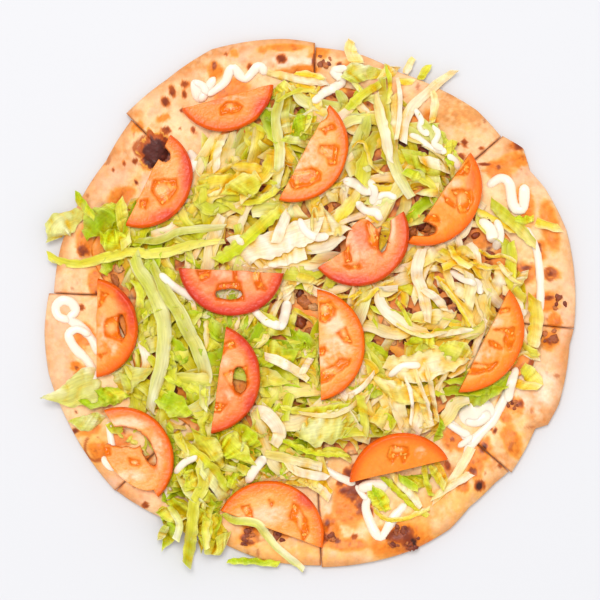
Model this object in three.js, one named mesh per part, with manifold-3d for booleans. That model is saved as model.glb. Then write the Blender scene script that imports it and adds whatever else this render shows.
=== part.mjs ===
// A round, thin pizza cut into eight slices that still lie together. It has baked-on cheese, a heap of
// shredded lettuce, thirteen half slices of tomato and thick strands of mayonnaise.
// Millimetres, +Z up. The origin is under the middle of the pizza, on the surface that it lies on.

import * as THREE from "three";
import { mergeVertices } from "three/addons/utils/BufferGeometryUtils.js";
import Module from "manifold-3d";

const wasm = await Module();
wasm.setup();

// The crust
const crustHeight = 6.5; // the flat middle, cheese included
const rimRise = 3.2; // how much higher the rim's crest is
const crestInset = 10; // from the outer edge to the crest
const crestWidth = 8;
const edgeRound = 4.5; // radius of the rim's outer rounding
const rimUnder = [[5, 0], [1.4, 0.9], [0, 3.4]]; // inset and height of the rim's rounded underside
const cutGap = 0.8; // between neighbouring slices
const rimSteps = 10; // facets round each slice's rim
const topInsets = [1.2, 4.5, 10, 17, 26, 42, 70, 108]; // rings of the top, in from the edge

// What lies on it
const tomatoThickness = 6;
const arcSteps = 13; // facets round a tomato slice's skin
const tomatoEdge = 0.9; // rounding of the tomato's skin edge
const gelDepth = 1.3; // how far the gel lies below the tomato's cut face
const mayoWidth = 4.5;
const mayoHeight = 3.4;
const mayoStep = 7.5; // length of one facet along a strand
const coreBottom = 7.6; // underside of the packed lettuce
const coreThickness = 6.5;
const coreSlope = 26; // how far in from its edge the heap is at its full thickness
const leafThickness = 1.3;
const leafStep = 13; // length of one facet along a leaf or shred
const leafSink = 1.2; // how far a leaf's ends dip into the packed lettuce
const leafLift = 1.1; // how far its middle plane lies above the crust
const clearance = 0.35; // between separate pieces
const raiseStep = 0.25; // by which a tomato slice is raised until it is clear
const steepest = 0.18; // slope at which a tomato slice may lie
const smallestPiece = 15; // cubic millimetres of a trimmed strand or lump that are kept

const rad = THREE.MathUtils.degToRad;
const { clamp, lerp, smoothstep } = THREE.MathUtils;

// The slices: the angles of the two cuts, and the rim's radius at angles between them.
const slices = [
  { name: "slice_7", rim: [[-5.4, 160], [7, 160.6], [16, 161], [26, 158], [31, 155], [36, 159], [41, 154]] },
  { name: "slice_8", rim: [[41, 153], [49, 154], [58, 151.4], [68.7, 149.3], [78, 153], [88.7, 154.4]] },
  { name: "slice_1", rim: [[88.7, 157], [95, 160], [111, 164], [122.5, 160], [134, 159]] },
  { name: "slice_2", rim: [[134, 154], [145, 149.6], [159, 152], [167, 153.7], [177.7, 154]] },
  { name: "slice_3", rim: [[177.7, 157], [186, 160.5], [195, 162.6], [207, 162], [224, 162.5]] },
  { name: "slice_4", rim: [[224, 162], [235, 157], [250, 153.5], [260, 157], [272.6, 158]] },
  { name: "slice_5", rim: [[272.6, 159], [293, 161], [302, 160], [308, 156], [316, 155.5], [320, 157]] },
  { name: "slice_6", rim: [[320, 158.6], [331, 155.5], [333, 161], [338, 162], [351, 158.6], [354.6, 160]] },
];

// Thick strands of mayonnaise on the crust, as plan routes with their width.
const mayonnaise = [
  { width: 4.5, route: [[-69.3, 133], [-68.9, 128], [-68.5, 123.5]] },
  { width: 4.5, route: [[-58.5, 135.9], [-64.5, 127.5], [-64.6, 123.5]] },
  { width: 4.5, route: [[-60, 126], [-51, 133], [-46.5, 141.5], [-39, 135], [-31.5, 142.5], [-27, 139]] },
  { width: 4.5, route: [[-142, -3], [-148.5, 2], [-153, -4.5], [-145.5, -10], [-133, -19], [-131.4, -30]] },
  { width: 4.5, route: [[-140.5, -15.5], [-145.5, -18.5], [-135.3, -31.5], [-131.6, -45]] },
  { width: 4.5, route: [[121, -47], [118, -55.5], [110, -70], [98, -83], [91.5, -97.5], [72, -121.5]] },
  { width: 4.5, route: [[37.5, -113.1], [33.9, -124], [42, -140.5], [50.7, -128.1], [56.7, -121.5]] },
  { width: 4, route: [[11, -100.8], [15, -103], [19.5, -104.8]] },
  { width: 3, route: [[28.5, -110], [31, -114], [33.9, -117.3]] },
  { width: 3.6, route: [[84.5, -70.5], [90, -76], [96, -84]] },
  { width: 5, route: [[108.5, 71.5], [114.9, 75.3], [120, 72], [122.5, 59], [128, 57], [128.7, 70]] },
  { width: 3.6, route: [[131.1, 44.7], [136.5, 32.1], [138.6, 12], [138, -7.5]] },
];

// Blisters, bubbles and small browned pieces of meat: middle, half sizes, height and direction.
const lumps = [
  { x: -93, y: 93.5, long: 10.5, wide: 8, height: 3.4, turn: 100 }, // charred blister across a cut
  { x: -128.5, y: -86.7, long: 7, wide: 7, height: 1.5, turn: 0 },
  { x: -22.5, y: -97.5, long: 5, wide: 3, height: 2, turn: -10 },
  { x: 55, y: -140, long: 10, wide: 8, height: 1.8, turn: 30 },
  { x: 12.5, y: -137.5, long: 6.5, wide: 5, height: 1.8, turn: 60 },
  { x: 100.5, y: -66, long: 7, wide: 5, height: 2.6, turn: -35 },
  { x: 143.1, y: -21.5, long: 5.5, wide: 5, height: 2.2, turn: 20 },
  { x: 125, y: 94, long: 6, wide: 5, height: 2.4, turn: 125 },
  { x: 11, y: 146, long: 5, wide: 4, height: 2, turn: 80 },
];

// A rounded lobe of a tomato slice, in the slice's own frame: u runs along its straight side, v towards
// its skin. Half sizes, and the direction of the longer one.
const lobe = (kind) => (u, v, long, wide, turn) => ({ kind, u, v, long, wide, turn });
const gel = lobe("gel"); // a chamber with gel in it, a little below the cut face
const cut = lobe("cut"); // a chamber that has lost its gel, open right through
const core = lobe("core"); // flesh that stands out past the straight side

// The tomato half slices: the middle of the straight side, the direction in which the skin bulges, the
// length of the straight side, the depth from it to the skin, and the lobes.
const tomatoes = [
  { x: -48.9, y: 123.3, turn: -75, chord: 55.9, depth: 20.2, lobes: [gel(0, 6.3, 7.2, 3.3, 177)] },
  { x: -96.3, y: 73.2, turn: -26, chord: 60.6, depth: 25.6,
    lobes: [cut(-19.3, -2, 7.8, 4.2, 61), gel(0, 11.9, 7.8, 5.4, 36)] },
  { x: -3.3, y: 90.3, turn: -28, chord: 63.9, depth: 25.1,
    lobes: [cut(-22.5, -3.8, 7.2, 4.8, 148), gel(-6.8, 14.1, 5.4, 5.4, 118), gel(13.5, 6.5, 10.2, 3, 113)] },
  { x: 77, y: 63.1, turn: -34.7, chord: 66, depth: 23.6,
    lobes: [gel(-9.6, 14.9, 7.2, 3.6, 45), cut(22, 1, 9, 4.2, 120)] },
  { x: 30.6, y: 38.1, turn: -56.6, chord: 61.1, depth: 26.6,
    lobes: [core(0, -1.2, 12, 7.2, 32), cut(-14.9, 4.1, 11.4, 2.7, 47), gel(3.7, 6.2, 9, 4.8, 172)] },
  { x: -46.8, y: 19.8, turn: -92.8, chord: 61.9, depth: 26.7,
    lobes: [gel(15.7, 4.1, 4.8, 3.3, 23), gel(-16.2, 5.5, 6, 4.2, 113), cut(0.8, 14.2, 7.2, 3, 3)] },
  { x: -126.6, y: -14.7, turn: -0.6, chord: 58.8, depth: 24.3,
    lobes: [gel(-18, 3.1, 6, 4.2, 161), gel(0.5, 7.4, 6, 5.2, 1), cut(-1.3, 15.2, 6.6, 1.8, 6)] },
  { x: -54.6, y: -45.6, turn: -8.1, chord: 63.6, depth: 24.6,
    lobes: [gel(-18.3, 3.1, 5.4, 4.2, 158), cut(-1.5, 12.8, 7.2, 3.6, 13), gel(15.6, 3.1, 5.4, 3.3, 108)] },
  { x: 5.7, y: -24.9, turn: 2.1, chord: 66, depth: 27,
    lobes: [gel(-20.8, 6.8, 5.4, 4.8, 148), gel(-4.9, 14.6, 4.8, 3.6, 108), gel(15.9, 6.6, 12, 4.5, 123)] },
  { x: 104.1, y: -22.2, turn: -26.3, chord: 67.6, depth: 22.2,
    lobes: [gel(-22.5, -1.1, 5.4, 4.2, 176), gel(-7.5, 13, 7.8, 3.6, 21), gel(14.5, 3.8, 10.2, 2.4, 124)] },
  { x: -107.1, y: -90.3, turn: 32.1, chord: 60.9, depth: 24,
    lobes: [core(6, -3.5, 20, 9.5, 16), cut(-12, 0, 13, 6, 50), cut(4, 9.5, 10, 2.8, 172)] },
  { x: -22.8, y: -135.6, turn: 69.9, chord: 64.5, depth: 28.1,
    lobes: [gel(-17.4, 4.8, 4.8, 4.2, 80), gel(15, 12.2, 9, 3.9, 130)] },
  { x: 53.4, y: -99.6, turn: 103.3, chord: 59.8, depth: 22.1, lobes: [gel(2.1, 10.3, 6.3, 3.3, 179)] },
];

// Radius of the packed lettuce every 15 degrees, from +X round by +Y.
const coreRadii = [
  126, 128, 118, 125, 130, 132, 132, 125, 116, 104, 122, 136, 118, 112, 114, 104, 118, 94, 91, 95, 104, 102,
  106, 140,
];

// Long shreds that show on top, as plan routes with their width. "over" lies across a tomato.
const longShreds = [
  { width: 7, route: [[-52, 27.5], [-38.7, 38], [-28.5, 46.5], [-19.5, 54]] },
  { width: 8, route: [[-11.7, 52], [-17.1, 45.9], [-22, 33]] },
  { width: 5.4, route: [[-157, 31], [-150, 25], [-131.7, 25.5], [-107.7, 27.3], [-80, 29.5], [-56, 33]] },
  { width: 5.4, route: [[-107.7, 38.1], [-86.7, 39.9], [-68.7, 45.3], [-50.7, 46.5]] },
  { width: 7, route: [[-140.7, 65.1], [-135.3, 58.5], [-124, 50], [-114, 46]] },
  { width: 7, route: [[-98.7, 11.1], [-89.7, -3.9], [-83.7, -18.9], [-86.7, -39.9], [-93.7, -55.9]] },
  { width: 6.5, route: [[-87.9, 15.9], [-77.7, -6.9], [-67.5, -26], [-62.5, -45.9], [-64, -60.9]] },
  { width: 6, route: [[-80.1, -80.1], [-65.1, -88.1], [-54, -100.5]] },
  { width: 5, route: [[-63.1, -90.7], [-61, -106.9], [-60, -122.1]] },
  { width: 5.5, route: [[-66.9, -92.7], [-69.9, -111.9], [-72.9, -126.3], [-73.5, -141.9], [-74.1, -155]] },
  { width: 6, route: [[-76, -94], [-80, -112], [-82, -128], [-86, -143]] },
  { width: 5, over: true, route: [[-60, -98], [-50, -112], [-39, -125], [-26, -138], [-5, -157]] },
  { width: 8, route: [[40.5, 129.9], [46.5, 107.1], [50.1, 83.7], [56, 72.3]] },
  { width: 5.4, route: [[86.7, 139], [72.3, 126.9], [61.5, 113], [57.5, 95]] },
  { width: 5.4, route: [[64.5, 148.5], [60.3, 138.9], [52, 116]] },
  { width: 5.4, route: [[74.3, 144.9], [68, 134.1], [60, 110]] },
  { width: 6.5, route: [[29.1, 157.5], [30.9, 150], [33.3, 140], [35, 124]] },
  { width: 5.4, route: [[44, 135], [32.7, 125.3], [20.5, 124]] },
  { width: 5, route: [[62.1, 24], [68.1, 8.7], [71.1, -12.3]] },
  { width: 6, route: [[-32, 31], [-14.7, 33.9], [3, 30.1]] },
  { width: 6, route: [[-17.7, -64.7], [12.3, -67.1], [30.3, -56.9], [39.3, -42.9]] },
  { width: 5, route: [[48, -72], [56, -65], [64, -55]] },
  { width: 6, route: [[139, 47], [130, 42], [119, 38]] },
  { width: 7, route: [[152, 45], [140, 49], [126, 45], [115, 42]] },
];

// Whole leaf pieces, as the line down the middle with their width and how far their edges wave.
const leaves = [
  { width: 14, wave: 2.5, route: [[-152, -59], [-138, -54], [-116, -51], [-94, -47]] },
  { width: 16, wave: 3, route: [[-153, 47], [-142, 44], [-128, 43], [-116, 44]] },
  { width: 15, wave: 3, route: [[-113, 30], [-111, 40], [-112, 52], [-116, 62]] },
  { width: 14, wave: 3, route: [[-80, -147], [-76, -128], [-70, -110], [-62, -94]] },
  { width: 11, wave: 2, route: [[134, -25], [136, -36], [135, -50]] },
  { width: 19, wave: 3, route: [[68, -38], [72, -50], [76, -64], [74, -74]] },
  { width: 24, wave: 4, route: [[-6, -84], [8, -76], [22, -72], [34, -76]] },
  { width: 14, wave: 3, route: [[-48, -78], [-46, -86], [-44, -94], [-44, -101]] },
  { width: 12, wave: 3, route: [[-60, 98], [-58, 88], [-59, 78], [-62, 68]] },
  { width: 18, wave: 3, route: [[28, 78], [36, 66], [42, 60]] },
  { width: 18, wave: 3, route: [[96, 16], [86, 6], [84, -8]] },
];

// Shreds between those, laid by a seeded rule.
const shredCount = 50;
const shredLength = [24, 50];
const shredWidth = [4.6, 7.6];
const shredSpans = [[0, 1], [0, 0.6], [0.4, 1], [0.25, 0.75]]; // whole, or cut short beside a tomato

const materials = {
  crust: new THREE.MeshStandardMaterial({ color: "#f2c894", roughness: 0.75, metalness: 0 }),
  tomato: new THREE.MeshStandardMaterial({ color: "#f2642c", roughness: 0.3, metalness: 0 }),
  lettuce: new THREE.MeshStandardMaterial({ color: "#d9df7a", roughness: 0.5, metalness: 0 }),
};

// A repeatable stream of numbers from 0 to 1.
function seeded(seed) {
  let state = seed;
  return () => {
    state = (Math.imul(state, 1664525) + 1013904223) >>> 0;
    return state / 2 ** 32;
  };
}

// Smooth unevenness from -1 to 1, with features of the given size.
function unevenness(x, y, size, seed) {
  const corner = (i, j) => seeded(Math.imul(i, 73856093) ^ Math.imul(j, 19349663) ^ seed)() * 2 - 1;
  const [u, v] = [x / size, y / size];
  const [i, j] = [Math.floor(u), Math.floor(v)];
  const [s, t] = [smoothstep(u - i, 0, 1), smoothstep(v - j, 0, 1)];
  return lerp(lerp(corner(i, j), corner(i + 1, j), s), lerp(corner(i, j + 1), corner(i + 1, j + 1), s), t);
}

// A value read off a list of [angle, value] pairs.
function readAt(pairs, angle) {
  const next = clamp(pairs.findIndex(([a]) => a > angle), 1, pairs.length - 1);
  const after = angle >= pairs.at(-1)[0] ? pairs.length - 1 : next;
  const [[a0, v0], [a1, v1]] = [pairs[after - 1], pairs[after]];
  return lerp(v0, v1, clamp((angle - a0) / (a1 - a0), 0, 1));
}

// The angle of a point in degrees, from the first slice's first cut round to it again.
function angleOf(x, y) {
  const first = slices[0].rim[0][0];
  return THREE.MathUtils.euclideanModulo(THREE.MathUtils.radToDeg(Math.atan2(y, x)) - first, 360) + first;
}

function rimRadius(x, y) {
  const angle = angleOf(x, y);
  return readAt(slices.find(({ rim }) => angle <= rim.at(-1)[0]).rim, angle);
}

// Height of the baked top: the flat middle, the rim's swell, the rounded edge and unevenness.
function crustTop(x, y) {
  const inset = Math.max(rimRadius(x, y) - Math.hypot(x, y), 0);
  const swell = rimRise * Math.exp(-(((inset - crestInset) / crestWidth) ** 2));
  const rounding = inset < edgeRound ? Math.sqrt(1 - (1 - inset / edgeRound) ** 2) : 1;
  const rimLumps = 0.9 * unevenness(x, y, 26, 11) * (1 - smoothstep(inset, 8, 40));
  const cheeseLumps = 0.45 * unevenness(x, y, 15, 12);
  return (crustHeight + swell + rimLumps + cheeseLumps) * rounding;
}

function coreRadius(x, y) {
  const turns = angleOf(x, y) / 15;
  const step = Math.floor(turns);
  const radiusOf = (k) => coreRadii[THREE.MathUtils.euclideanModulo(k, coreRadii.length)];
  return lerp(radiusOf(step), radiusOf(step + 1), smoothstep(turns - step, 0, 1));
}

// The packed lettuce's underside is flat, and rises where the crust swells towards its rim.
function coreUnder(x, y) {
  return Math.max(coreBottom, crustTop(x, y) + 2 * clearance);
}

// Its top is uneven and comes down to a thin edge.
function coreTop(x, y) {
  const inset = coreRadius(x, y) - Math.hypot(x, y);
  const body = coreThickness * (0.35 + 0.65 * smoothstep(inset, 0, coreSlope));
  return coreUnder(x, y) + body + 1.5 * unevenness(x, y, 22, 31) * smoothstep(inset, 0, 12);
}

// What a topping at x, y lies on.
function supportTop(x, y) {
  const onCore = Math.hypot(x, y) < coreRadius(x, y);
  return onCore ? coreTop(x, y) : crustTop(x, y);
}

// A closed solid from [x, y, z] corners and triangles, its faces turned outwards.
function solidOf(corners, triangles) {
  const geometry = new THREE.BufferGeometry();
  geometry.setAttribute("position", new THREE.Float32BufferAttribute(corners.flat(), 3));
  geometry.setIndex(triangles.flat());
  return solidFrom(geometry);
}

function solidFrom(geometry) {
  const bare = geometry.clone().deleteAttribute("normal").deleteAttribute("uv");
  const merged = mergeVertices(bare, 1e-3);
  const index = merged.index.array;
  const kept = [];
  for (let i = 0; i < index.length; i += 3) {
    const [a, b, c] = index.slice(i, i + 3);
    if (a !== b && b !== c && c !== a) kept.push([a, b, c]);
  }
  const build = (triangles) =>
    new wasm.Manifold(
      new wasm.Mesh({
        numProp: 3,
        vertProperties: merged.attributes.position.array,
        triVerts: new Uint32Array(triangles.flat()),
      }),
    );
  const solid = build(kept);
  return solid.volume() > 0 ? solid : build(kept.map(([a, b, c]) => [a, c, b]));
}

function geometryFrom(solid) {
  const { vertProperties, triVerts, numProp, numVert } = solid.getMesh();
  const positions = new Float32Array(numVert * 3);
  for (let i = 0; i < numVert; i++) {
    positions.set(vertProperties.subarray(i * numProp, i * numProp + 3), i * 3);
  }
  const geometry = new THREE.BufferGeometry();
  geometry.setAttribute("position", new THREE.BufferAttribute(positions, 3));
  geometry.setIndex([...triVerts]);
  geometry.computeVertexNormals();
  return geometry;
}

function moved(solid, matrix) {
  return solidFrom(geometryFrom(solid).applyMatrix4(matrix));
}

const raised = (solid, height) => moved(solid, new THREE.Matrix4().makeTranslation(0, 0, height));

const crosses = (solid, others) => others.some((other) => !solid.intersect(other).isEmpty());

// The largest of a solid's separate bodies, without the hollows sealed inside it.
function mainBody(solid) {
  return solid.decompose().reduce((a, b) => (b.volume() > a.volume() ? b : a));
}

// A solid through rings of corners, with the first and last ring closed by the given triangles.
function lofted(rings, capTriangles) {
  const count = rings[0].length;
  const last = (rings.length - 1) * count;
  const triangles = [];
  for (let i = 0; i < last; i += count) {
    for (let k = 0; k < count; k++) {
      const [a, b] = [i + k, i + ((k + 1) % count)];
      triangles.push([a, b, b + count], [a, b + count, a + count]);
    }
  }
  for (const [a, b, c] of capTriangles) triangles.push([a, c, b], [last + a, last + b, last + c]);
  return solidOf(rings.flat(), triangles);
}

// Where a slice's two cuts meet, half a gap away from each cutting line.
function sliceTip(rim) {
  const [from, to] = [rad(rim[0][0]), rad(rim.at(-1)[0])];
  const radius = cutGap / 2 / Math.sin((to - from) / 2);
  return [radius * Math.cos((from + to) / 2), radius * Math.sin((from + to) / 2)];
}

// One slice's crust: a profile from the tip along the underside, round the rim and back over the top,
// carried from one cut to the other.
function crustSolid({ rim }) {
  const [from, to] = [rim[0][0], rim.at(-1)[0]];
  const tip = sliceTip(rim);
  const lengths = [];
  const rings = [];
  for (let step = 0; step <= rimSteps; step++) {
    const angle = lerp(from, to, step / rimSteps);
    const radius = readAt(rim, angle);
    const shift = step === 0 ? cutGap / 2 : step === rimSteps ? -cutGap / 2 : 0;
    const outer = [
      radius * Math.cos(rad(angle)) - shift * Math.sin(rad(angle)),
      radius * Math.sin(rad(angle)) + shift * Math.cos(rad(angle)),
    ];
    const length = Math.hypot(outer[0] - tip[0], outer[1] - tip[1]);
    const at = (inset) => [0, 1].map((k) => lerp(outer[k], tip[k], inset / length));
    const onTop = (point) => [...point, crustTop(...point)];
    rings.push([
      [...tip, 0],
      ...rimUnder.map(([inset, height]) => [...at(inset), height]),
      ...topInsets.map((inset) => onTop(at(inset))),
      onTop(tip),
    ]);
    lengths.push(length);
  }
  const insets = [0, ...rimUnder.map(([inset]) => inset), ...topInsets, 0];
  const profile = rings[0].map(([, , z], k) => {
    const alongCut = k === 0 || k === insets.length - 1 ? 0 : lengths[0] - insets[k];
    return new THREE.Vector2(alongCut, z);
  });
  return lofted(rings, THREE.ShapeUtils.triangulateShape(profile, []));
}

// A soft strand of mayonnaise along a plan route, half sunk into what carries it.
function mayoSolid({ width, route }) {
  const curve = new THREE.SplineCurve(route.map(([x, y]) => new THREE.Vector2(x, y)));
  const steps = Math.max(2, Math.round(curve.getLength() / mayoStep));
  const sides = 5;
  const rings = [];
  for (let step = 0; step <= steps; step++) {
    const t = step / steps;
    const point = curve.getPointAt(t);
    const tangent = curve.getTangentAt(t);
    const swell = step === 0 || step === steps ? 0.55 : 1;
    const middle = crustTop(point.x, point.y) + 0.15 * mayoHeight;
    const ring = [];
    for (let k = 0; k < sides; k++) {
      const turn = (2 * Math.PI * k) / sides;
      const across = (Math.cos(turn) * swell * width) / 2;
      const up = (Math.sin(turn) * swell * mayoHeight * (width / mayoWidth)) / 2;
      ring.push([point.x - tangent.y * across, point.y + tangent.x * across, middle + up]);
    }
    rings.push(ring);
  }
  const fan = Array.from({ length: sides - 2 }, (_, k) => [0, k + 1, k + 2]);
  return lofted(rings, fan);
}

// A low dome, half sunk into the crust.
function lumpSolid({ x, y, long, wide, height, turn }) {
  const dome = new THREE.SphereGeometry(1, 8, 5);
  dome.rotateX(Math.PI / 2);
  dome.scale(long, wide, height + 1);
  dome.rotateZ(rad(turn));
  dome.translate(x, y, crustTop(x, y) - 1);
  return solidFrom(dome);
}

// The space between a slice's two cuts, which trims what is baked or poured across them.
function wedgeSolid({ rim }) {
  const tip = sliceTip(rim);
  const corners = [rim[0][0], rim.at(-1)[0]].map((angle, side) => {
    const shift = ((side ? -1 : 1) * cutGap) / 2;
    const [c, s] = [Math.cos(rad(angle)), Math.sin(rad(angle))];
    return new THREE.Vector2(250 * c - shift * s, 250 * s + shift * c);
  });
  const plan = new THREE.Shape([new THREE.Vector2(...tip), ...corners]);
  return solidFrom(new THREE.ExtrudeGeometry(plan, { depth: 30, bevelEnabled: false }));
}

function sliceSolid(slice) {
  const wedge = wedgeSolid(slice);
  const trimmed = [...mayonnaise.map(mayoSolid), ...lumps.map(lumpSolid)]
    .map((piece) => piece.intersect(wedge))
    .filter((piece) => piece.volume() > smallestPiece);
  return mainBody(trimmed.reduce((whole, piece) => whole.add(piece), crustSolid(slice)));
}

// The packed lettuce under the shreds, as rings out over its top and back along its underside.
function coreSolid() {
  const sectors = 36;
  const rings = [
    ...[0.3, 0.52, 0.7, 0.84, 0.94, 1].map((share) => ({ share, height: coreTop })),
    ...[0.99, 0.86, 0.72].map((share) => ({ share, height: coreUnder })),
  ];
  const corners = [[0, 0, coreTop(0, 0)], [0, 0, coreBottom]];
  const triangles = [];
  rings.forEach(({ share, height }, ring) => {
    for (let s = 0; s < sectors; s++) {
      const angle = (2 * Math.PI * s) / sectors;
      const [dx, dy] = [Math.cos(angle), Math.sin(angle)];
      const radius = coreRadius(dx, dy) * share;
      const [x, y] = [dx * radius, dy * radius];
      corners.push([x, y, height(x, y)]);
      const [a, b] = [s, (s + 1) % sectors].map((k) => 2 + ring * sectors + k);
      if (ring === 0) triangles.push([0, a, b]);
      else triangles.push([a - sectors, a, b], [a - sectors, b, b - sectors]);
      if (ring === rings.length - 1) triangles.push([1, b, a]);
    }
  });
  return solidOf(corners, triangles);
}

// A tomato half slice lying flat: an arc of skin closed by a straight cut, with its lobes. Grown, it is
// the space to leave free round it, with no chambers.
function tomatoSolid({ chord, depth, lobes }, growth = 0) {
  const half = chord / 2 + growth;
  const rise = depth + growth;
  const radius = (half ** 2 + rise ** 2) / (2 * rise);
  const reach = Math.atan2(half, radius - rise);
  const outline = Array.from({ length: arcSteps + 1 }, (_, k) => {
    const angle = lerp(-reach, reach, k / arcSteps);
    return new THREE.Vector2(radius * Math.sin(angle), rise - radius - growth + radius * Math.cos(angle));
  });
  const skin = new THREE.ExtrudeGeometry(new THREE.Shape(outline), {
    depth: tomatoThickness - 2 * tomatoEdge + growth,
    bevelSegments: 1,
    bevelSize: tomatoEdge,
    bevelThickness: tomatoEdge,
    bevelOffset: -tomatoEdge,
  });
  skin.translate(0, 0, tomatoEdge);
  const spans = {
    core: [0, tomatoThickness - tomatoEdge + growth],
    gel: [tomatoThickness - gelDepth, tomatoThickness + 1],
    cut: [-1, tomatoThickness + 1],
  };
  return mainBody(
    lobes.reduce((solid, { kind, u, v, long, wide, turn }) => {
      if (growth && kind !== "core") return solid;
      const oval = new THREE.Shape().absellipse(0, 0, long + growth, wide + growth, 0, 2 * Math.PI);
      const [bottom, top] = spans[kind];
      const column = new THREE.ExtrudeGeometry(new THREE.Shape(oval.getPoints(4)), {
        depth: top - bottom,
        bevelEnabled: false,
      });
      column.rotateZ(rad(turn));
      column.translate(u, v, bottom);
      return kind === "core" ? solid.add(solidFrom(column)) : solid.subtract(solidFrom(column));
    }, solidFrom(skin)),
  );
}

// Where a tomato slice lies: the plane that best fits what is under it, raised until it is clear.
function tomatoPlace({ x, y, turn, chord, depth }, solid, below) {
  const along = new THREE.Vector2(Math.sin(rad(turn)), -Math.cos(rad(turn)));
  const out = new THREE.Vector2(Math.cos(rad(turn)), Math.sin(rad(turn)));
  const samples = [];
  for (let u = -0.8; u <= 0.81; u += 0.2) {
    for (let v = 0; v <= 0.91 * Math.sqrt(1 - u * u); v += 0.15) {
      const [du, dv] = [(u * chord) / 2, v * depth];
      const z = supportTop(x + along.x * du + out.x * dv, y + along.y * du + out.y * dv);
      samples.push({ du, dv, z });
    }
  }
  const mean = (f) => samples.reduce((total, sample) => total + f(sample), 0) / samples.length;
  const middle = { dv: mean((s) => s.dv), z: mean((s) => s.z) };
  const slope = (f) => mean((s) => f(s) * (s.z - middle.z)) / mean((s) => f(s) ** 2);
  const [slopeU, slopeV] = [slope((s) => s.du), slope((s) => s.dv - middle.dv)].map((value) =>
    clamp(value, -steepest, steepest),
  );
  const uAxis = new THREE.Vector3(along.x, along.y, slopeU).normalize();
  const vAxis = new THREE.Vector3(out.x, out.y, slopeV).normalize();
  const normal = new THREE.Vector3().crossVectors(uAxis, vAxis).normalize();
  vAxis.crossVectors(normal, uAxis);
  const place = new THREE.Matrix4().makeBasis(uAxis, vAxis, normal);
  place.setPosition(x, y, middle.z - vAxis.z * middle.dv);
  const step = new THREE.Matrix4().makeTranslation(0, 0, raiseStep);
  while (crosses(moved(solid, place), below)) place.premultiply(step);
  return place.premultiply(new THREE.Matrix4().makeTranslation(0, 0, clearance));
}

// A thin wavy sheet: middle points in rows, both faces split into the same triangles.
function sheetSolid(rows) {
  const columns = rows[0].length;
  const count = rows.length * columns;
  const faceAt = (offset) => rows.flat().map(([x, y, z]) => [x, y, z + offset]);
  const triangles = [];
  for (let i = 0; i + 1 < rows.length; i++) {
    for (let k = 0; k + 1 < columns; k++) {
      const [a, b] = [i * columns + k, i * columns + k + 1];
      const [c, d] = [a + columns, b + columns];
      for (const [p, q, r] of [[a, b, d], [a, d, c]]) {
        triangles.push([p, q, r], [p + count, r + count, q + count]);
      }
    }
  }
  const wall = (a, b) => triangles.push([b, a, a + count], [b, a + count, b + count]);
  for (let k = 0; k + 1 < columns; k++) {
    wall(k, k + 1);
    wall(count - 1 - k, count - 2 - k);
  }
  for (let i = 0; i + 1 < rows.length; i++) {
    wall((i + 1) * columns, i * columns);
    wall((i + 1) * columns - 1, (i + 2) * columns - 1);
  }
  return solidOf([...faceAt(leafThickness / 2), ...faceAt(-leafThickness / 2)], triangles);
}

// A band of leaf along part of a plan curve. Its ends dip into the heap, its middle rises, it leans to
// one side, and its edges wave.
function bandSolid({ curve, width, columns, rise, lean, wave, over }, [from, to], lift) {
  const steps = Math.max(3, Math.round((curve.getLength() * (to - from)) / leafStep));
  const rows = [];
  for (let step = 0; step <= steps; step++) {
    const t = step / steps;
    const point = curve.getPointAt(lerp(from, to, t));
    const tangent = curve.getTangentAt(lerp(from, to, t));
    const half = (width / 2) * (0.62 + 0.38 * Math.sin(Math.PI * t));
    const onCore = Math.hypot(point.x, point.y) < coreRadius(point.x, point.y) - 4;
    const row = [];
    for (let k = 0; k <= columns; k++) {
      const side = (2 * k) / columns - 1;
      const x = point.x - tangent.y * half * side;
      const y = point.y + tangent.x * half * side;
      const onCrust = Math.max(crustTop(x, y), crustHeight - 0.5) + leafLift;
      const lying = onCore ? coreTop(point.x, point.y) - leafSink : onCrust;
      const ground = over ? Math.max(lying, over(x, y)) : lying;
      const arch = rise * Math.sin(Math.PI * t);
      const ruffle = wave * side ** 2 * Math.sin(2.3 * Math.PI * t + side);
      const slant = lean * side * half * (onCore ? 1 : 0.3);
      row.push([x, y, ground + lift + arch + ruffle + slant]);
    }
    rows.push(row);
  }
  return sheetSolid(rows);
}

const slicePieces = slices.map((slice) => ({ name: slice.name, solid: sliceSolid(slice) }));
const packedCore = coreSolid();
const below = [packedCore, ...slicePieces.map(({ solid }) => solid)];
const tomatoPieces = tomatoes.map((tomato, i) => {
  const solid = tomatoSolid(tomato);
  return { name: `tomato_${i + 1}`, tomato, solid, place: tomatoPlace(tomato, solid, below) };
});

// What the lettuce keeps clear of: the slices a little raised, and the tomatoes a little grown.
const lowered = new THREE.Matrix4().makeTranslation(0, 0, -clearance);
const obstacles = [
  ...slicePieces.map(({ solid }) => raised(solid, clearance)),
  ...tomatoPieces.map(({ tomato, place }) => {
    const grown = tomatoSolid(tomato, 2 * clearance);
    return moved(grown, lowered.clone().multiply(place));
  }),
];

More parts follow.
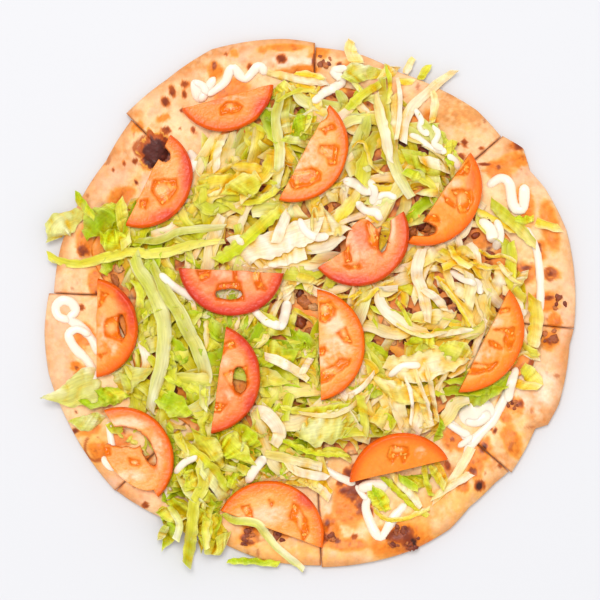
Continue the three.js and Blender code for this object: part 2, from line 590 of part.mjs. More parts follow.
// Every leaf and shred of the heap, as a plan curve with its form. Short shreds lie round a sunflower
// pattern, so that they are spread evenly.
function lettucePieces() {
  const random = seeded(20);
  const between = (low, high) => lerp(low, high, random());
  const splineOf = (route) => new THREE.SplineCurve(route.map(([x, y]) => new THREE.Vector2(x, y)));
  const leafForm = { columns: 3, rise: 2.7, lean: 0 };
  const shredForm = { columns: 1, rise: 3.4, lean: 0.25, wave: 0 };
  const pieces = [
    ...leaves.map(({ route, width, wave }) => ({ ...leafForm, width, wave, curve: splineOf(route) })),
    ...longShreds.map(({ route, width, over }) => ({
      ...shredForm,
      ...(over && { over: overTomato, rise: 0.6 }),
      width,
      curve: splineOf(route),
    })),
  ];
  for (let i = 0; i < shredCount; i++) {
    const angle = i * Math.PI * (3 - Math.sqrt(5));
    const [dx, dy] = [Math.cos(angle), Math.sin(angle)];
    const radius = coreRadius(dx, dy) * Math.sqrt((i + 0.5) / shredCount);
    const middle = new THREE.Vector2(dx * radius, dy * radius);
    const [heading, half] = [2 * Math.PI * random(), between(...shredLength) / 2];
    const reach = new THREE.Vector2(half * Math.cos(heading), half * Math.sin(heading));
    const aside = new THREE.Vector2(-reach.y, reach.x).setLength(between(-12, 12));
    pieces.push({
      ...shredForm,
      width: between(...shredWidth),
      rise: between(3, 6.5),
      lean: between(-0.4, 0.4),
      curve: new THREE.QuadraticBezierCurve(
        middle.clone().sub(reach),
        middle.clone().add(aside),
        middle.clone().add(reach),
      ),
    });
  }
  return pieces;
}

// A piece that would cross something is shortened or raised, and left out if neither helps.
function fitted(piece, heap) {
  for (const span of shredSpans) {
    for (let lift = 0; lift <= 2.4; lift += 0.6) {
      const band = bandSolid(piece, span, lift);
      if (!crosses(band, obstacles) && crosses(band, [heap])) return band;
    }
  }
  return null;
}

function lettuceSolid() {
  let heap = packedCore;
  for (const piece of lettucePieces()) {
    const band = fitted(piece, heap);
    if (band) heap = heap.add(band);
  }
  return mainBody(heap);
}

// Height of a shred that lies across the last but one tomato, and no height away from it.
function overTomato(x, y) {
  const { place, tomato } = tomatoPieces.at(-2);
  const local = new THREE.Vector3(x, y, 0).sub(new THREE.Vector3().setFromMatrixPosition(place));
  const [uAxis, vAxis, normal] = [0, 1, 2].map((k) => new THREE.Vector3().setFromMatrixColumn(place, k));
  local.z = -(local.x * normal.x + local.y * normal.y) / normal.z;
  const [u, v] = [local.dot(uAxis), local.dot(vAxis)];
  const besides = Math.abs(u) > tomato.chord / 2 + 7 || v < -7 || v > tomato.depth + 7;
  return besides ? 0 : place.elements[14] + local.z + tomatoThickness + 1.4;
}

const pizza = new THREE.Group();
for (const { name, solid } of slicePieces) {
  const mesh = new THREE.Mesh(geometryFrom(solid), materials.crust);
  mesh.name = name;
  pizza.add(mesh);
}
for (const { name, solid, place } of tomatoPieces) {
  const mesh = new THREE.Mesh(geometryFrom(solid), materials.tomato);
  mesh.name = name;
  place.decompose(mesh.position, mesh.quaternion, mesh.scale);
  pizza.add(mesh);
}
const lettuce = new THREE.Mesh(geometryFrom(lettuceSolid()), materials.lettuce);
lettuce.name = "lettuce";
pizza.add(lettuce);

export default pizza;
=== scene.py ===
# The looks of a round thin pizza: baked crust, melted cheese, shredded lettuce, tomato half slices and
# strands of mayonnaise. Shapes are worked out in millimetres and put into the meshes in metres.

import bmesh
import bpy
import numpy as np
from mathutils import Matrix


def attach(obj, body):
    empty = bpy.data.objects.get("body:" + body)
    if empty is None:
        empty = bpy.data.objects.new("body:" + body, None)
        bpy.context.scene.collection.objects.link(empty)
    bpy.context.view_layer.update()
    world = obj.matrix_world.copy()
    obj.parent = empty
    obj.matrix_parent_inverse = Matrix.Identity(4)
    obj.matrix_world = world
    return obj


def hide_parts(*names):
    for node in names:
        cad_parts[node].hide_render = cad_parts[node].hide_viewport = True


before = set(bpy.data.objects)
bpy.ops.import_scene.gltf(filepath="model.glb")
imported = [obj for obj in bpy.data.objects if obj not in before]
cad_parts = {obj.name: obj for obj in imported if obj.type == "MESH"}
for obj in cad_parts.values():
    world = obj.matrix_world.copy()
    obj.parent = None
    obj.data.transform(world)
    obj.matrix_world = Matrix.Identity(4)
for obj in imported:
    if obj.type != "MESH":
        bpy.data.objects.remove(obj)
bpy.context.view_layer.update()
print("frame loaded")

photo = {
    "width": 600,  # pixels
    "pixelSize": 0.6,  # millimetres
    "pizzaMiddle": (309.5, 303.5),  # pixels
}


# Numbers, colours and unevenness

def linear(hexColour):  # an sRGB hex colour as linear red, green and blue
    channels = np.array([int(hexColour[k:k + 2], 16) for k in (1, 3, 5)]) / 255
    return np.where(channels <= 0.04045, channels / 12.92, ((channels + 0.055) / 1.055) ** 2.4)


def ramp(x, low, high):  # 0 up to low, 1 from high on, and a smooth step between them
    t = np.clip((x - low) / (high - low), 0, 1)
    return t * t * (3 - 2 * t)


def mix(a, b, share):  # a at 0, b at 1, and straight between them
    return a + (b - a) * share


def tint(colours, hexColour, share):  # moves an array of colours towards one colour
    return colours + (linear(hexColour) - colours) * np.asarray(share)[..., None]


def painted(shape, tones, base, layers):  # one tone, then moved towards each layer's tone by its share
    colours = np.ones((*shape, 3)) * linear(tones[base])
    for key, share in layers:
        colours = tint(colours, tones[key], share)
    return colours


def turned(x, y, angle):  # places as seen along directions that are turned by an angle in radians
    c, s = np.cos(angle), np.sin(angle)
    return x * c + y * s, y * c - x * s


def fromPhoto(route):  # photo pixels to millimetres about the middle of the pizza
    points = np.array(route, float)
    middle = photo["pizzaMiddle"]
    across = (points[:, 0] - middle[0]) * photo["pixelSize"]
    return np.stack([across, (middle[1] - points[:, 1]) * photo["pixelSize"]], 1)


def spot(px, py):  # one photo pixel in millimetres
    return fromPhoto([(px, py)])[0]


def cornerValue(i, j, seed):  # a repeatable number from -1 to 1 for each corner of a square lattice
    state = ((i * 73856093) & 0xFFFFFFFF) ^ ((j * 19349663) & 0xFFFFFFFF) ^ seed
    return ((state * 1664525 + 1013904223) & 0xFFFFFFFF) / 2 ** 31 - 1


def unevenness(x, y, size, seed):  # lattice numbers blended smoothly, with features of that size
    i, j = np.floor(x / size).astype(np.int64), np.floor(y / size).astype(np.int64)
    s, t = ramp(x / size - i, 0, 1), ramp(y / size - j, 0, 1)
    near = mix(cornerValue(i, j, seed), cornerValue(i + 1, j, seed), s)
    far = mix(cornerValue(i, j + 1, seed), cornerValue(i + 1, j + 1, seed), s)
    return mix(near, far, t)


def grain(x, y, size, seed, octaves=3):  # unevenness at halved sizes, each turned a little, added up
    total = 0
    for k in range(octaves):
        c, s = np.cos(0.6 + k), np.sin(0.6 + k)
        total = total + unevenness(c * x - s * y, s * x + c * y, size / 2 ** k, seed + 57 * k) / 2 ** k
    return total / (2 - 2 ** (1 - octaves))


# Meshes, pieces and materials

def gridFaces(rows, columns, closed=False):  # quads of a grid of points, closed round its columns or not
    i = np.arange(rows - 1)[:, None]
    k = np.arange(columns if closed else columns - 1)[None, :]
    after = (k + 1) % columns
    corners = [i * columns + k, i * columns + after, (i + 1) * columns + after, (i + 1) * columns + k]
    return np.stack(corners, -1).reshape(-1, 4)


def tubeFaces(rows, ring):  # a closed tube: round its section, along it, and a cap at each end
    k = np.arange(ring // 2 - 1)
    cap = np.stack([k, k + 1, ring - 2 - k, ring - 1 - k], 1)
    return np.concatenate([gridFaces(rows, ring, closed=True), cap, cap + (rows - 1) * ring])


def repeated(faces, count, step):  # the same faces for each of several equal grids
    return (faces[None] + (np.arange(count) * step)[:, None, None]).reshape(-1, faces.shape[1])


# A mesh from points in millimetres, with its attributes. Points nearer than merge become one, and edges
# that turn by more than the angle sharp, in degrees, show as edges.
def makePiece(name, points, faces, material, attributes, replaced=(), merge=0.002, sharp=60):
    mesh = bpy.data.meshes.new(name)
    mesh.vertices.add(len(points))
    mesh.vertices.foreach_set("co", (points / 1000).astype(np.float32).ravel())
    mesh.loops.add(faces.size)
    mesh.loops.foreach_set("vertex_index", faces.astype(np.int32).ravel())
    mesh.polygons.add(len(faces))
    mesh.polygons.foreach_set("loop_start", np.arange(0, faces.size, faces.shape[1], dtype=np.int32))
    mesh.update(calc_edges=True)
    for key, values in attributes.items():
        if values.ndim == 1:
            layer = mesh.attributes.new(key, "FLOAT", "POINT")
            layer.data.foreach_set("value", values.astype(np.float32))
        elif key.endswith("Colour"):
            layer = mesh.attributes.new(key, "FLOAT_COLOR", "POINT")
            opaque = np.concatenate([np.clip(values, 0, 1), np.ones((len(values), 1))], 1)
            layer.data.foreach_set("color", opaque.astype(np.float32).ravel())
        else:
            layer = mesh.attributes.new(key, "FLOAT_VECTOR", "POINT")
            layer.data.foreach_set("vector", values.astype(np.float32).ravel())
    work = bmesh.new()
    work.from_mesh(mesh)
    if merge:
        bmesh.ops.remove_doubles(work, verts=work.verts, dist=merge / 1000)
    loose = [vertex for vertex in work.verts if not vertex.link_faces]
    bmesh.ops.delete(work, geom=loose, context="VERTS")
    bmesh.ops.recalc_face_normals(work, faces=work.faces)
    work.to_mesh(mesh)
    work.free()
    mesh.shade_smooth()
    mesh.set_sharp_from_angle(angle=np.radians(sharp))
    mesh.materials.append(material)
    piece = bpy.data.objects.new(name, mesh)
    bpy.context.scene.collection.objects.link(piece)
    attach(piece, "root")
    if replaced:
        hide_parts(*replaced)
    print(name, len(mesh.polygons), "faces")
    return piece


def addNode(tree, kind, settings, links=None):  # a node with its settings and what feeds its inputs
    node = tree.nodes.new(kind)
    for key, value in settings.items():
        if isinstance(key, str) and hasattr(node, key):
            setattr(node, key, value)
        else:
            node.inputs[key].default_value = value
    for key, source in (links or {}).items():
        tree.links.new(source, node.inputs[key])
    return node


def newMaterial(name):  # a material without nodes, and its tree
    material = bpy.data.materials.new(name)
    material.use_nodes = True
    material.node_tree.nodes.clear()
    return material, material.node_tree


def noise(tree, size, detail, roughness=0.5, place=None):  # noise whose features have that size in metres
    place = place or addNode(tree, "ShaderNodeTexCoord", {}).outputs["Object"]
    return addNode(tree, "ShaderNodeTexNoise", {"Scale": 1 / size, "Detail": detail, "Roughness": roughness},
                   {"Vector": place}).outputs["Fac"]


def ranged(tree, source, fromLow, fromHigh, toLow, toHigh):  # one range of values moved onto another
    return addNode(tree, "ShaderNodeMapRange", {1: fromLow, 2: fromHigh, 3: toLow, 4: toHigh},
                   {0: source}).outputs[0]


def toned(tree, attribute, source, low, high):  # a colour attribute, made darker and lighter by noise
    colour = addNode(tree, "ShaderNodeAttribute", {"attribute_name": attribute})
    tone = ranged(tree, source, 0.3, 0.7, low, high)
    return addNode(tree, "ShaderNodeMix", {"data_type": "RGBA", "blend_type": "MULTIPLY", 0: 1.0},
                   {6: colour.outputs["Color"], 7: tone}).outputs[2]


def bumpy(tree, height, strength, distance):  # relief from a height, of that distance in metres
    return addNode(tree, "ShaderNodeBump", {"Strength": strength, "Distance": distance},
                   {"Height": height}).outputs[0]


def shaded(tree, settings, links=None):  # the surface's shader, joined to the material's output
    shader = addNode(tree, "ShaderNodeBsdfPrincipled", settings, links)
    addNode(tree, "ShaderNodeOutputMaterial", {}, {"Surface": shader.outputs[0]})


# The crust: the same driving sizes as the solids

crust = {
    "height": 6.5, "rimRise": 3.2, "crestInset": 10, "crestWidth": 8, "edgeRound": 4.5, "waist": 3.4,
    "cutGap": 0.3, "cutRound": 1.0, "cutDrop": 0.9, "underRound": 5, "rimLump": 0.9, "rimLumpSize": 26,
    "ripple": 0.45, "rippleSize": 15, "fineBand": 78, "step": 1.05,
    "cutSteps": (0, 0.35, 0.8, 1.5), "edgeSteps": (0, 0.04, 0.16, 0.4, 0.75, 1.2, 1.8, 2.5, 3.4, 4.4),
}
# Each slice's rim from its one cut to its other: a direction in degrees and a radius in millimetres
slices = {
    "slice_7": [[-5.4, 160], [7, 160.6], [16, 161], [26, 158], [31, 155], [36, 159], [41, 154]],
    "slice_8": [[41, 153], [49, 154], [58, 151.4], [68.7, 149.3], [78, 153], [88.7, 154.4]],
    "slice_1": [[88.7, 157], [95, 160], [111, 164], [122.5, 160], [134, 159]],
    "slice_2": [[134, 154], [145, 149.6], [159, 152], [167, 153.7], [177.7, 154]],
    "slice_3": [[177.7, 157], [186, 160.5], [195, 162.6], [207, 162], [224, 162.5]],
    "slice_4": [[224, 162], [235, 157], [250, 153.5], [260, 157], [272.6, 158]],
    "slice_5": [[272.6, 159], [293, 161], [302, 160], [308, 156], [316, 155.5], [320, 157]],
    "slice_6": [[320, 158.6], [331, 155.5], [333, 161], [338, 162], [351, 158.6], [354.6, 160]],
}
firstCut = slices["slice_7"][0][0]
wholeRim = np.array([
    [angle + (1e-4 if k == 0 else 0), radius]
    for rim in slices.values() for k, (angle, radius) in enumerate(rim)
])
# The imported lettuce's outline every 15 degrees from the first cut on, and its sizes
core = {"bottom": 7.6, "gap": 0.7, "thickness": 6.5, "slope": 26, "sector": 15}
coreRadii = np.array([
    126, 128, 118, 125, 130, 132, 132, 125, 116, 104, 122, 136, 118, 112, 114, 104, 118, 94, 91, 95, 104, 102,
    106, 140,
])
lumps = np.array([  # blisters and bubbles: middle, half sizes, height and direction
    [-93, 93.5, 10.5, 8, 3.4, 100], [-128.5, -86.7, 7, 7, 1.5, 0], [-22.5, -97.5, 5, 3, 2, -10],
    [55, -140, 10, 8, 1.8, 30], [12.5, -137.5, 6.5, 5, 1.8, 60], [100.5, -66, 7, 5, 2.6, -35],
    [143.1, -21.5, 5.5, 5, 2.2, 20], [125, 94, 6, 5, 2.4, 125], [11, 146, 5, 4, 2, 80],
])


def angleOf(x, y):  # degrees anticlockwise from +X, counted on from the first cut
    return np.mod(np.degrees(np.arctan2(y, x)) - firstCut, 360) + firstCut


def rimRadius(x, y):  # straight in angle from one point of the rim to the next
    return np.interp(angleOf(x, y), wholeRim[:, 0], wholeRim[:, 1])


def crustTop(x, y):  # the flat middle, the rim's swell, unevenness and the rounded edge
    inset = np.maximum(rimRadius(x, y) - np.hypot(x, y), 0)
    swell = crust["rimRise"] * np.exp(-(((inset - crust["crestInset"]) / crust["crestWidth"]) ** 2))
    rimLumps = crust["rimLump"] * unevenness(x, y, crust["rimLumpSize"], 11) * (1 - ramp(inset, 8, 40))
    ripples = crust["ripple"] * unevenness(x, y, crust["rippleSize"], 12)
    full = crust["height"] + swell + rimLumps + ripples
    rounding = np.sqrt(1 - (1 - np.minimum(inset / crust["edgeRound"], 1)) ** 2)
    return crust["waist"] + (full - crust["waist"]) * rounding


def withLumps(x, y, ground):  # each lump is a dome with a wrinkled top that rises out of the crust
    for px, py, long, wide, height, turn in lumps:
        u, v = turned(x - px, y - py, np.radians(turn))
        share = (u / long) ** 2 + (v / wide) ** 2 + 0.22 * grain(x, y, 4, 71)
        dome = (height + 0.8) * np.sqrt(np.clip(1 - share, 0, 1)) - 0.8
        ground = ground + np.maximum(dome, 0)
    return ground


def radiusOf(radii, x, y):  # radii given for each sector, blended smoothly
    turns = angleOf(x, y) / core["sector"]
    step = np.floor(turns).astype(int)
    return mix(radii[step % len(radii)], radii[(step + 1) % len(radii)], ramp(turns - step, 0, 1))


def coreRadius(x, y):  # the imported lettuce's outline
    return radiusOf(coreRadii, x, y)


def coreUnder(x, y):  # its underside, level in the middle and clear of the crust
    return np.maximum(core["bottom"], crustTop(x, y) + core["gap"])


def coreTop(x, y):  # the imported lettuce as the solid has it
    inset = coreRadius(x, y) - np.hypot(x, y)
    body = core["thickness"] * (0.35 + 0.65 * ramp(inset, 0, core["slope"]))
    return coreUnder(x, y) + body + 1.5 * unevenness(x, y, 22, 31) * ramp(inset, 0, 12)


# Browning: spots with a dark middle and an orange ring, orange oily zones, tan, golden, pinkish and pale
# zones, and char. Each is a middle and half widths in photo pixels, and for some a direction in degrees.
browning = {
    "spots": [
        (165, 101, 4.5, 3.5, -60), (172, 91, 3, 5.5, 20), (185, 84, 4, 3.5), (184, 94, 2.5, 4),
        (182, 110, 3, 2), (180, 128, 1.6, 1.6), (193, 129, 2.5, 4, 10), (166, 130, 4.5, 4),
        (124, 163, 2, 3.2, 20), (113, 170, 1.5, 2), (135, 161, 2.5, 2.5), (136, 182, 1.6, 3, 25),
        (282, 58, 4.5, 4.2), (250, 66, 3, 4), (214, 65, 2.5, 4), (83, 250, 6, 5.5), (81, 307, 2.6, 2.6),
        (76, 368, 2, 2), (84.5, 377, 3, 3), (75, 431, 3, 2.8), (75.5, 412, 2, 2.5), (145, 506, 4, 3, 20),
        (136, 480, 2.5, 2), (244, 537, 4, 4), (251, 543, 4.5, 2.5), (252, 528, 3, 5), (325, 538, 5, 5),
        (337, 541, 3, 2.5), (328, 524, 3.5, 5), (355, 537, 3, 2.5), (396, 536, 8, 9, 20), (408, 540, 9, 11),
        (352, 493, 10, 9), (363, 506, 7, 10), (358, 477, 9, 9), (372, 499, 6, 9), (369, 512, 6, 8),
        (410, 532, 6, 6), (357, 487, 6, 6), (349, 473, 6, 5), (480, 485, 5.2, 5), (473, 471, 4, 5.5, 30),
        (484, 449, 4, 6, -15), (521, 404, 5, 4), (495, 431, 2, 3, -30), (453, 440, 2.5, 2.5),
        (448, 466, 3, 4), (551, 274, 5, 3.5, 30), (539, 248, 3, 6, 15), (549, 298, 6, 2.5, 5),
        (518, 145, 6, 7), (465, 143, 3, 5, 10), (482, 148, 2.6, 2.2), (458, 144, 1.8, 1.8), (461, 158, 4, 4),
        (486, 164, 7, 1.6, -5), (499, 167, 2, 3), (548, 341, 6, 3, -40), (527, 268, 5, 3), (502, 276, 4, 3),
        (450, 170, 2, 2), (96, 293, 3, 1.5, 20), (108, 269, 3.5, 3.5), (355, 467, 6, 4), (350, 480, 5, 4),
        (360, 494, 5, 4), (366, 505, 5, 6), (345, 491, 5, 4), (340, 483, 4, 4), (364, 480, 5, 3),
        (314, 59, 1.5, 8), (340, 64, 3, 2.5), (226, 54, 2, 2), (489, 428, 3, 2.5), (500, 466, 2, 2),
    ],
    "orange": [
        (161, 119, 7, 3.5, 20), (157, 150, 16, 14, 20), (148, 148, 6, 7, 30), (303, 69, 14, 4),
        (234, 54, 4, 4), (285, 47, 20, 3.5), (215, 72, 7, 9), (232, 90, 16, 12, 20), (262, 49, 5, 4),
        (290, 73, 12, 5), (137, 128, 6, 5, 30), (146, 163, 5, 7), (120, 196, 14, 8, 30), (85, 240, 8, 14),
        (93, 283, 5, 12), (84, 335, 10, 12), (82, 374, 6, 9, 10), (75, 366, 4, 4), (88, 430, 12, 6, 15),
        (120, 440, 10, 8), (98, 452, 10, 10), (250, 534, 10, 13), (282, 530, 10, 8), (330, 530, 11, 15),
        (352, 500, 18, 24), (398, 540, 28, 17, 10), (350, 545, 20, 6), (350, 505, 16, 22),
        (425, 545, 14, 8, 20), (462, 484, 7, 9, 30), (476, 466, 9, 13), (484, 450, 8, 12),
        (514, 405, 10, 8, -30), (504, 412, 6, 12, 15), (455, 440, 10, 12), (500, 169, 12, 11),
        (516, 160, 12, 8), (519, 274, 19, 11), (545, 303, 14, 10), (551, 274, 8, 6), (540, 250, 6, 10),
        (526, 205, 8, 18, 10), (549, 340, 8, 10), (430, 130, 8, 20), (550, 225, 8, 24, 12),
        (555, 320, 6, 10), (512, 440, 8, 16, 20), (140, 470, 14, 14), (173, 525, 12, 6, 30),
        (395, 62, 8, 4, 20), (320, 52, 10, 6), (345, 70, 8, 8),
    ],
    "tan": [
        (238, 97, 24, 10, 10), (456, 111, 19, 17, 30), (446, 98, 10, 6, 20), (480, 120, 12, 10),
        (75, 330, 6, 8), (515, 150, 12, 14), (403, 540, 24, 13, 10), (500, 458, 16, 14, 30),
        (110, 210, 16, 12, 30), (200, 60, 24, 8, -25), (120, 150, 12, 20, 30), (222, 50, 34, 7, 12),
        (190, 66, 14, 6, 35), (130, 118, 12, 6, 40), (540, 420, 10, 24, 20), (412, 482, 14, 9),
        (446, 470, 10, 14, 20),
    ],
    "char": [
        (156, 150, 11, 12, 10), (484, 449, 2.2, 2.6), (414, 543, 2.5, 5, 20), (480, 486, 2.6, 2.8),
    ],
    "arcs": [  # middle, radius, width, and the angles between which the arc runs, anticlockwise from +X
        (97, 448, 13, 1.8, 120, 300), (551, 274, 5.5, 1.6, 0, 360), (148, 148, 12, 2.2, 90, 250),
        (140, 147, 6, 1.6, 30, 260), (303, 66, 9, 1.3, 200, 340), (116, 436, 9, 1.5, 0, 100),
    ],
    "golden": [
        (290, 556, 60, 16), (420, 548, 40, 16, 15), (470, 500, 34, 18, 40), (236, 546, 30, 12, -20),
        (150, 175, 22, 12, 40), (455, 120, 30, 20, 30), (95, 450, 20, 26, 20), (520, 440, 16, 30, 25),
        (440, 500, 30, 16, 30), (418, 512, 26, 14),
    ],
    "pinkish": [
        (60, 330, 12, 50), (120, 500, 14, 26, 40), (560, 330, 14, 50), (110, 180, 26, 12, 45),
        (250, 54, 50, 9, -8), (520, 180, 20, 24, 30), (70, 380, 10, 24, 10),
    ],
    "pale": [
        (335, 511, 9, 19, -25), (290, 62, 26, 5), (535, 390, 20, 24, 20), (100, 500, 20, 12, 40),
        (150, 185, 10, 14), (420, 395, 14, 10),
    ],
}


def zone(x, y, features, soft):  # how far each point is inside any of the features, their edges frayed
    level = np.zeros_like(x)
    fray = 0.5 * grain(x, y, 5, 91) + 0.25 * unevenness(x, y, 1.7, 92)
    for px, py, long, wide, *turn in features:
        centre = spot(px, py)
        half = np.array([long, wide]) * photo["pixelSize"]
        u, v = turned(x - centre[0], y - centre[1], np.radians(turn[0] if turn else 0))
        share = np.hypot(u / half[0], v / half[1]) + fray * min(1, 5 / half.max())
        level = np.maximum(level, 1 - ramp(share, 1 - soft, 1 + soft))
    return level


def arcZone(x, y, arcs):  # how far each point is on any of the arcs
    level = np.zeros_like(x)
    for px, py, radius, width, start, end in arcs:
        centre, scale = spot(px, py), photo["pixelSize"]
        away = np.hypot(x - centre[0], y - centre[1]) / scale + 1.2 * unevenness(x, y, 3, 93)
        angle = np.mod(np.degrees(np.arctan2(y - centre[1], x - centre[0])) - start, 360)
        along = ramp(angle, 0, 20) * (1 - ramp(angle, end - start - 20, end - start))
        along = 1 if end - start >= 360 else along
        level = np.maximum(level, (1 - ramp(np.abs(away - radius), width * 0.4, width * 1.5)) * along)
    return level


# The crust's tones; the cut tone paints the shade of the slit along each cut
bakedColours = {
    "rim": "#f5c796", "rimPink": "#eeae86", "cheese": "#f9d6a4", "cheeseGold": "#f4bb6c", "oil": "#e87c02",
    "oilLight": "#f5ae46", "tan": "#d98e4e", "brown": "#b2520f", "dark": "#7c2e0e", "char": "#451c12",
    "pale": "#f6dfc8", "golden": "#f6b658", "pinkish": "#efb38c", "amber": "#efa252", "cut": "#a8581c",
    "under": "#e3ab6c", "underBrown": "#b56f38",
}


def bakedColour(x, y, inset, cutDistance):
    # From the floury rim to the cheese, then the zones, then oil, browning and char over them all, and last a
    # darker brown line along each cut, painted shade of the slit. Each share is a ramp of lattice noise, of
    # the distance from the rim or a cut, or of how far a zone reaches.
    rough, fine = grain(x, y, 9, 41), grain(x, y, 2.6, 42)
    cheesy = ramp(inset + 5 * rough, 12, 24)
    mottled = 0.35 + 0.65 * ramp(fine + 0.6 * rough, -0.35, 0.35)
    edgeBrown = (1 - ramp(inset + 2 * fine, 1, 9)) * ramp(grain(x, y, 24, 44), -0.25, 0.4)
    oil = zone(x, y, browning["orange"], 0.55)
    halo = zone(x, y, browning["spots"], 0.55)
    return painted(x.shape, bakedColours, "rim", [
        ("rimPink", ramp(rough + 0.5 * fine, -0.1, 0.7) * 0.8),
        ("cheese", cheesy),
        ("cheeseGold", cheesy * ramp(grain(x, y, 14, 43), 0.05, 0.6) * 0.85),
        ("golden", 0.8 * zone(x, y, browning["golden"], 0.6) * ramp(rough + fine, -0.9, 0.3)),
        ("pinkish", 0.8 * zone(x, y, browning["pinkish"], 0.6)),
        ("pale", 0.8 * zone(x, y, browning["pale"], 0.5)),
        ("tan", 0.95 * mottled * zone(x, y, browning["tan"], 0.5)),
        ("tan", 0.75 * edgeBrown),
        ("amber", 0.4 * ramp(grain(x, y, 7, 47) + 0.3 * fine, 0.05, 0.6)),
        ("oilLight", 0.85 * ramp(oil, 0, 0.5)),
        ("oil", ramp(oil, 0.1, 0.8) * np.clip(0.85 + 0.3 * fine, 0, 1)),
        ("brown", 0.6 * ramp(oil, 0.5, 1) * ramp(fine - 0.4 * rough, 0.3, 0.7)),
        ("oil", 0.8 * ramp(halo, 0.05, 0.5)),
        ("brown", ramp(halo, 0.35, 0.75)),
        ("dark", 0.9 * ramp(halo + 0.25 * fine, 0.75, 1.1)),
        ("brown", 0.9 * arcZone(x, y, browning["arcs"])),
        ("brown", 0.65 * ramp(unevenness(x, y, 3.1, 45) + 0.6 * unevenness(x, y, 11, 46), 0.95, 1.25)),
        ("char", ramp(zone(x, y, browning["char"], 0.3), 0.2, 0.8)),
        # painted shade of the slit: a darker brown line along each cut
        ("cut", 0.75 * (1 - ramp(cutDistance + 0.5 * fine, 0.1, 1.3))),
    ])


def bakedMaterial():
    # Baked wheat dough and melted cheese: a matt, finely pitted rim and a slightly oily, satin middle, with
    # golden clouds all over.
    material, tree = newMaterial("bakedDoughAndCheese")
    floury = toned(tree, "bakedColour", noise(tree, 0.0035, 4, 0.6), 0.88, 1.1)
    golden = addNode(tree, "ShaderNodeMix",
                     {"data_type": "RGBA", "blend_type": "MULTIPLY", 7: (0.97, 0.8, 0.58, 1)},
                     {0: ranged(tree, noise(tree, 0.006, 5, 0.62), 0.48, 0.7, 0.0, 0.9), 6: floury})
    place = addNode(tree, "ShaderNodeTexCoord", {})
    pores = addNode(tree, "ShaderNodeTexVoronoi", {"Scale": 1 / 0.0022, "Randomness": 1.0},
                    {"Vector": place.outputs["Object"]})
    relief = addNode(tree, "ShaderNodeMath", {"operation": "MULTIPLY_ADD", 1: 0.35}, {
        0: ranged(tree, pores.outputs["Distance"], 0.0, 0.45, 0.0, 1.0), 2: noise(tree, 0.0016, 3)})
    oily = addNode(tree, "ShaderNodeAttribute", {"attribute_name": "oil"})
    shaded(tree, {"IOR": 1.45, "Subsurface Weight": 0.12, "Subsurface Radius": (0.004, 0.002, 0.001),
                  "Subsurface Scale": 1.0},
           {"Base Color": golden.outputs[2],
            "Roughness": ranged(tree, oily.outputs["Fac"], 0.0, 1.0, 0.8, 0.44),
            "Normal": bumpy(tree, relief.outputs[0], 0.5, 0.0005)})
    return material


baked = bakedMaterial()


def slicePiece(name, rim):
    # A slice is two height fields over one grid of points, from the cut to the next cut and from the rim
    # in to the tip. They meet in the rim's waist, and a wall closes each cut.
    rim = np.array(rim)
    start, end = np.radians(rim[0, 0]), np.radians(rim[-1, 0])
    arc = rim[:, 1].mean() * (end - start)
    inner = np.arange(2.6, arc - 2.6, crust["step"])
    distance = np.concatenate([crust["cutSteps"], inner, arc - np.array(crust["cutSteps"][::-1])])
    share = distance / arc
    outline = np.interp(mix(rim[0, 0], rim[-1, 0], share), rim[:, 0], rim[:, 1])
    inside = crust["cutGap"] / 2 / outline
    angle = mix(start + inside, end - inside, share)
    outer = np.stack([outline * np.cos(angle), outline * np.sin(angle)], 1)
    tipRadius = crust["cutGap"] / 2 / np.sin((end - start) / 2)
    tip = tipRadius * np.array([np.cos((start + end) / 2), np.sin((start + end) / 2)])
    length = np.hypot(*(outer - tip).T)
    band = np.arange(5.4, crust["fineBand"], crust["step"])
    inwards = crust["fineBand"] + np.arange(0, 1, 0.04) ** 1.1 * (length.min() - crust["fineBand"])
    insets = np.concatenate([crust["edgeSteps"], band, inwards])
    insetShare = np.concatenate([insets[:, None] / length[None], np.ones((1, len(length)))])
    points = outer[None] + (tip - outer)[None] * insetShare[..., None]
    x, y = points[..., 0], points[..., 1]
    inset = insetShare * length[None]
    cutDistance = np.minimum(share, 1 - share)[None] * arc * (1 - insetShare)
    top = withLumps(x, y, crustTop(x, y))
    detail = 0.28 * grain(x, y, 7, 61) + 0.12 * unevenness(x, y, 1.9, 62)
    oil = np.maximum(zone(x, y, browning["orange"], 0.35), 0.4 * ramp(inset, 14, 30))
    spotRelief = 0.35 * zone(x, y, browning["spots"], 0.4)
    top = top + (detail + spotRelief) * ramp(inset, 0, 3)
    top = top - crust["cutDrop"] * (1 - ramp(cutDistance, 0, crust["cutRound"])) * ramp(inset, 0, 3)
    under = crust["waist"] * (1 - np.sqrt(1 - (1 - np.minimum(inset / crust["underRound"], 1)) ** 2))
    rows, columns = x.shape
    upper = np.stack([x, y, top], -1).reshape(-1, 3)
    lower = np.stack([x, y, under], -1).reshape(-1, 3)
    topFaces = gridFaces(rows, columns)
    count = rows * columns
    walls = []
    for side in (0, columns - 1):
        row = np.arange(rows - 1) * columns + side
        walls.append(np.stack([row, row + columns, row + columns + count, row + count], -1))
    faces = np.concatenate([topFaces, topFaces + count, *walls])
    colours = bakedColour(x, y, inset, cutDistance).reshape(-1, 3)
    # the underside is evenly golden, with pale flour between browner patches
    below = painted((count,), bakedColours, "under", [
        ("underBrown", 0.8 * ramp(grain(x, y, 16, 63), 0, 0.6).ravel()),
        ("rim", (1 - ramp(inset, 0, 7)).ravel()),
    ])
    attributes = {
        "bakedColour": np.concatenate([colours, below]),
        "oil": np.concatenate([oil.ravel(), np.zeros(count)]),
    }
    points = np.concatenate([upper, lower])
    makePiece("bakedSlice" + name.split("_")[1], points, faces, baked, attributes, [name])


